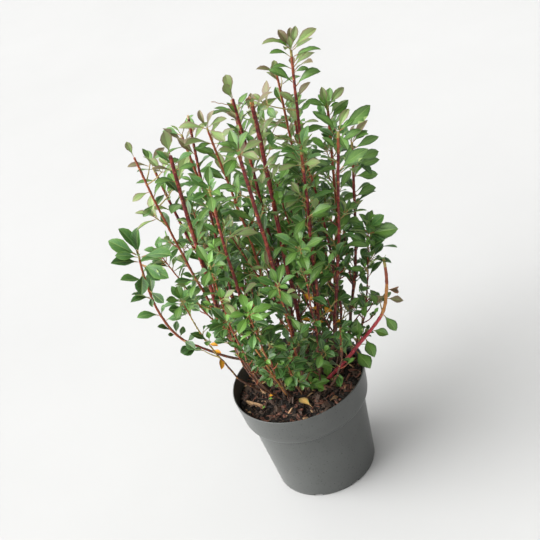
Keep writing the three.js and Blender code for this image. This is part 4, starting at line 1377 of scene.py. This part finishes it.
class SHRUB_OT_mix(bpy.types.Operator):
    """Add the potting mix with its loose bark chips"""
    bl_idname = "shrub.mix"
    bl_label = "Potting Mix"

    def execute(self, context):
        _, colours = settings(context)
        dice = np.random.default_rng(CHIP_SEED)
        plug = turned_shell("potting_mix", PLUG_SIDE + PLUG_TOP, POT_SEGMENTS)
        top = plug.vertex_groups.new(name="top")
        top.add([v.index for v in plug.data.vertices if v.co.z > PLUG_EDGE], 1.0, "REPLACE")
        apply_modifier(plug, "DISPLACE", direction="Z", strength=HEAP_HEIGHT, mid_level=0.5,
                       vertex_group="top", texture_coords="LOCAL", texture=cloud_texture("heaps", HEAP_SIZE))
        dark = tuple(colours.mix_dark)
        # Damp peat: crumbs of a few millimetres, nearly black in the hollows.
        plug.data.materials.append(grained(
            "damp_peat", [scaled(dark, 0.5), dark, scaled(dark, 1.7)], patch=5, relief=1.5, roughness=0.9,
            grit=1.6))
        plug.data.polygons.foreach_set("use_smooth", [True] * len(plug.data.polygons))
        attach(plug, "root")
        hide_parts("soil")
        ground = ground_of(context)
        heap = Heap()
        for sort in CHIP_SORTS:
            for _ in range(sort.count):
                span = sort.span[0] + (sort.span[1] - sort.span[0]) * dice.random() ** 1.8
                radius = min(CHIP_RING * math.sqrt(dice.random()), CHIP_LIMIT - span)
                turn = dice.uniform(0, FULL_TURN)
                middle = (radius * math.cos(turn), radius * math.sin(turn))
                chip(heap, middle, span, dice.uniform(*sort.slimness), dice.uniform(*sort.thickness),
                     dice.uniform(0, FULL_TURN), dice.normal(0, CHIP_SLOPE, 2),
                     str(dice.choice(list(sort.tones), p=list(sort.tones.values()))), ground, dice)
        chip(heap, **LONG_SPLINTER, slope=(0.0, 0.15), tone="fresh", ground=ground, dice=dice)
        # Chipped conifer bark: dark weathered faces, redder torn ones and a few pale fresh splinters.
        materials = []
        for name in CHIPS:
            base = tuple(getattr(colours, "chip_" + name))
            materials.append(grained("chipped_bark_" + name, [scaled(base, 0.55), base, scaled(base, 1.4)],
                                     patch=4, relief=0.5, roughness=0.85, grit=0.8))
        heap.piece("bark_chips", materials, "potting_mix", smooth=False)
        return {"FINISHED"}


# A stem swells at each node by this share, over this length. Bark has ridges of about the last size.
CANE_SIDES, LATERAL_SIDES, TWIG_SIDES = 10, 7, 6
NODE_SWELL, NODE_LENGTH = 0.16, 2.2
BARK_RIDGE = 3.5

# A leaf scar is a small boat-shaped bump: how far it reaches up, down, to either side and out.
SCAR_UP, SCAR_DOWN, SCAR_SIDE, SCAR_OUT = 2.2, 1.4, 1.5, 0.9
SCAR_FACES = [(0, 4, 1), (1, 4, 2), (2, 4, 3), (3, 4, 0), (0, 1, 5), (1, 2, 5), (2, 3, 5), (3, 0, 5)]

# Where bark changes, give or take the scatter: crimson is painted darker below the first height, as painted
# shade under the crown, and bark is old below the second, except on the right arch, which is dry past a share
# of its length. A pruned end is pale or dry.
PAINTED_SHADE_HEIGHT, OLD_HEIGHT, HEIGHT_SCATTER = 330, 235, 14
DRY_SHARE, SHARE_SCATTER = 0.62, 0.02
CUT_LENGTH = 4

# The green length at a growing tip, from least to most. Below it the bark is russet, this many times as far.
GREEN_TIPS = (4, 13)
RUSSET_TIMES = 3.5


class SHRUB_OT_canes(bpy.types.Operator):
    """Grow the canes with their spurs and leaf scars"""
    bl_idname = "shrub.canes"
    bl_label = "Canes"

    def execute(self, context):
        sizes, colours = settings(context)
        growth = grow(sizes)
        barks = bark_materials(colours)
        dice = np.random.default_rng(BARK_SEED)
        canes, twigs, scars = Heap(), Heap(), Heap()
        for stem in growth.stems:
            radius = stem.radius.copy()
            for node in stem.nodes:
                radius *= 1 + NODE_SWELL * np.exp(-((stem.reach - node) / NODE_LENGTH) ** 2)
            heap, sides = (twigs, LATERAL_SIDES) if stem.end == "lateral" else (canes, CANE_SIDES)
            heap.tube(stem.line, radius, sides, self.bark_slots(stem, dice))
        made = canes.piece("canes", barks, "red_bark")
        start_afresh()
        apply_modifier(made, "DISPLACE", strength=sizes.bark_relief, mid_level=0.5, texture_coords="LOCAL",
                       texture=cloud_texture("bark_ridges", BARK_RIDGE))
        limbs = ["cane_" + cane.name for cane in CANES]
        limbs += [f"arch_{side}_{part}" for side in ("left", "right") for part in ("lower", "upper")]
        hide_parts(*limbs)
        for line, radius, bark in growth.twigs:
            twigs.tube(line, radius, TWIG_SIDES, [BARKS.index(bark)] * len(line))
        twigs.piece("spurs", barks, "red_bark")
        for point, outward, along, radius in growth.scars:
            side = np.cross(along, outward)
            middle = point + outward * radius * 0.9
            corners = np.array([
                middle + along * SCAR_UP, middle + side * SCAR_SIDE, middle - along * SCAR_DOWN,
                middle - side * SCAR_SIDE, middle + outward * SCAR_OUT + along * 0.3, middle - outward])
            scars.add(corners, SCAR_FACES, BARKS.index("dry"))
        scars.piece("leaf_scars", barks, "red_bark")
        return {"FINISHED"}

    def bark_slots(self, stem, dice):
        """The bark of each ring: old at the foot, crimson above with painted shade darkening it lower down,
        green or dry at the tip.
        """
        share, left = stem.reach / stem.length, stem.length - stem.reach
        height = stem.line[:, 2] + dice.normal(0, HEIGHT_SCATTER, len(share))
        names = np.full(len(share), stem.bark, dtype=object)
        if stem.bark == "crimson":
            # Painted shade: crimson is painted darker below the height.
            names[height < PAINTED_SHADE_HEIGHT] = "wine"
        if stem.mass == "arch_right":
            names[share + dice.normal(0, SHARE_SCATTER, len(share)) > DRY_SHARE] = "dry"
        else:
            names[height < OLD_HEIGHT] = "old"
        if stem.end == "whorl":
            tip = dice.uniform(*GREEN_TIPS)
            names[left < RUSSET_TIMES * tip] = "russet"
            names[left < tip] = "green"
        elif stem.end in ("cut", "withered"):
            names[left < CUT_LENGTH] = "cut" if stem.end == "cut" else "dry"
        return [BARKS.index(name) for name in names]


class SHRUB_OT_leaves(bpy.types.Operator):
    """Grow the leaves, in four joined pieces"""
    bl_idname = "shrub.leaves"
    bl_label = "Leaves"

    def execute(self, context):
        sizes, colours = settings(context)
        growth = grow(sizes)
        ground = ground_of(context)
        dice = np.random.default_rng(LITTER_SEED)
        for shade, size, place, heading in FALLEN_LEAVES:
            growth.fallen_leaf(shade, size, place, heading, ground, dice)
        blades = leaf_materials(colours)
        for name, masses in LEAF_PIECES.items():
            heap = leaves_heap([leaf for leaf in growth.leaves if leaf.mass in masses], sizes)
            made = heap.piece(name, blades, "leaves", crease=24)
            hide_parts(*("foliage_" + mass for mass in masses))
        return {"FINISHED"}


# The floor's side in metres and its two tones, and the lights: strength, width in degrees and source.
FLOOR_SIDE = 80
FLOOR_TONES = ("#c4c4c3", "#c7c7c6")
LIGHTS = [
    ("key_light", 3.7, 65, (-0.86, -0.06, 0.5)),
    ("top_light", 0.8, 100, (0.2, 0.1, 0.97)),
]

# The surround's strength at the far left and at the right.
BRIGHT_SIDE, DIM_SIDE = 2.0, 0.08

# The camera's sensor in millimetres, and its image's side and focal length in pixels.
SENSOR = 36
IMAGE_SIDE = 540
FOCAL_LENGTH = 1139


class SHRUB_OT_stage(bpy.types.Operator):
    """Add the pale floor, the soft lights and the camera"""
    bl_idname = "shrub.stage"
    bl_label = "Stage"

    def execute(self, context):
        start_afresh()
        bpy.ops.mesh.primitive_plane_add(size=FLOOR_SIDE)
        floor = context.active_object
        floor.name = "floor"
        # Matt painted board: an even pale grey with next to no grain.
        floor.data.materials.append(grained(
            "matt_painted_board", [linear(tone) for tone in FLOOR_TONES], patch=400, relief=0.01,
            roughness=0.9))
        for name, energy, angle, source in LIGHTS:
            bpy.ops.object.light_add(type="SUN")
            light = context.active_object
            light.name = name
            light.data.energy = energy
            light.data.angle = math.radians(angle)
            light.rotation_euler = Vector(source).to_track_quat("Z", "Y").to_euler()
        world = context.scene.world or bpy.data.worlds.new("studio")
        context.scene.world = world
        world.use_nodes = True
        tree = world.node_tree
        tree.nodes.clear()
        # A white surround, bright on the left and dim on the right, like one large soft box.
        place = add_node(tree, "ShaderNodeTexCoord").outputs["Generated"]
        side = add_node(tree, "ShaderNodeSeparateXYZ", {"Vector": place}).outputs["X"]
        strength = add_node(tree, "ShaderNodeMapRange", {
            "Value": side, "From Min": -1.0, "From Max": 0.55, "To Min": BRIGHT_SIDE, "To Max": DIM_SIDE})
        sky = add_node(tree, "ShaderNodeBackground", {
            "Color": (1, 1, 1, 1), "Strength": strength.outputs["Result"]})
        add_node(tree, "ShaderNodeOutputWorld", {"Surface": sky.outputs["Background"]})
        turn = Matrix((VIEW_RIGHT, VIEW_UP, -VIEW_AHEAD)).transposed().to_4x4()
        turn.translation = Vector(EYE) * MM
        bpy.ops.object.camera_add()
        camera = context.active_object
        camera.name = "camera"
        camera.matrix_world = turn
        camera.data.sensor_width = SENSOR
        camera.data.lens = SENSOR * FOCAL_LENGTH / IMAGE_SIDE
        camera.data.clip_start = 0.05
        context.scene.camera = camera
        context.scene.view_settings.view_transform = "Standard"
        return {"FINISHED"}


class SHRUB_PT_panel(bpy.types.Panel):
    """The shrub's sizes, colours and pieces"""
    bl_label = "Potted Enkianthus"
    bl_idname = "SHRUB_PT_panel"
    bl_space_type = "VIEW_3D"
    bl_region_type = "UI"
    bl_category = "Shrub"

    def draw(self, context):
        for group in settings(context):
            for name in group.__annotations__:
                self.layout.prop(group, name)
        for operator in OPERATORS:
            self.layout.operator(operator.bl_idname)


OPERATORS = (SHRUB_OT_pot, SHRUB_OT_mix, SHRUB_OT_canes, SHRUB_OT_leaves, SHRUB_OT_stage)
CLASSES = (ShrubSizes, ShrubColours, *OPERATORS, SHRUB_PT_panel)


def register():
    for each in CLASSES:
        bpy.utils.register_class(each)
    bpy.types.Scene.shrub_sizes = bpy.props.PointerProperty(type=ShrubSizes)
    bpy.types.Scene.shrub_colours = bpy.props.PointerProperty(type=ShrubColours)


def unregister():
    del bpy.types.Scene.shrub_sizes
    del bpy.types.Scene.shrub_colours
    for each in reversed(CLASSES):
        bpy.utils.unregister_class(each)


def main():
    register()
    bpy.ops.shrub.pot()
    bpy.ops.shrub.mix()
    bpy.ops.shrub.canes()
    bpy.ops.shrub.leaves()
    bpy.ops.shrub.stage()


if __name__ == "__main__":
    main()
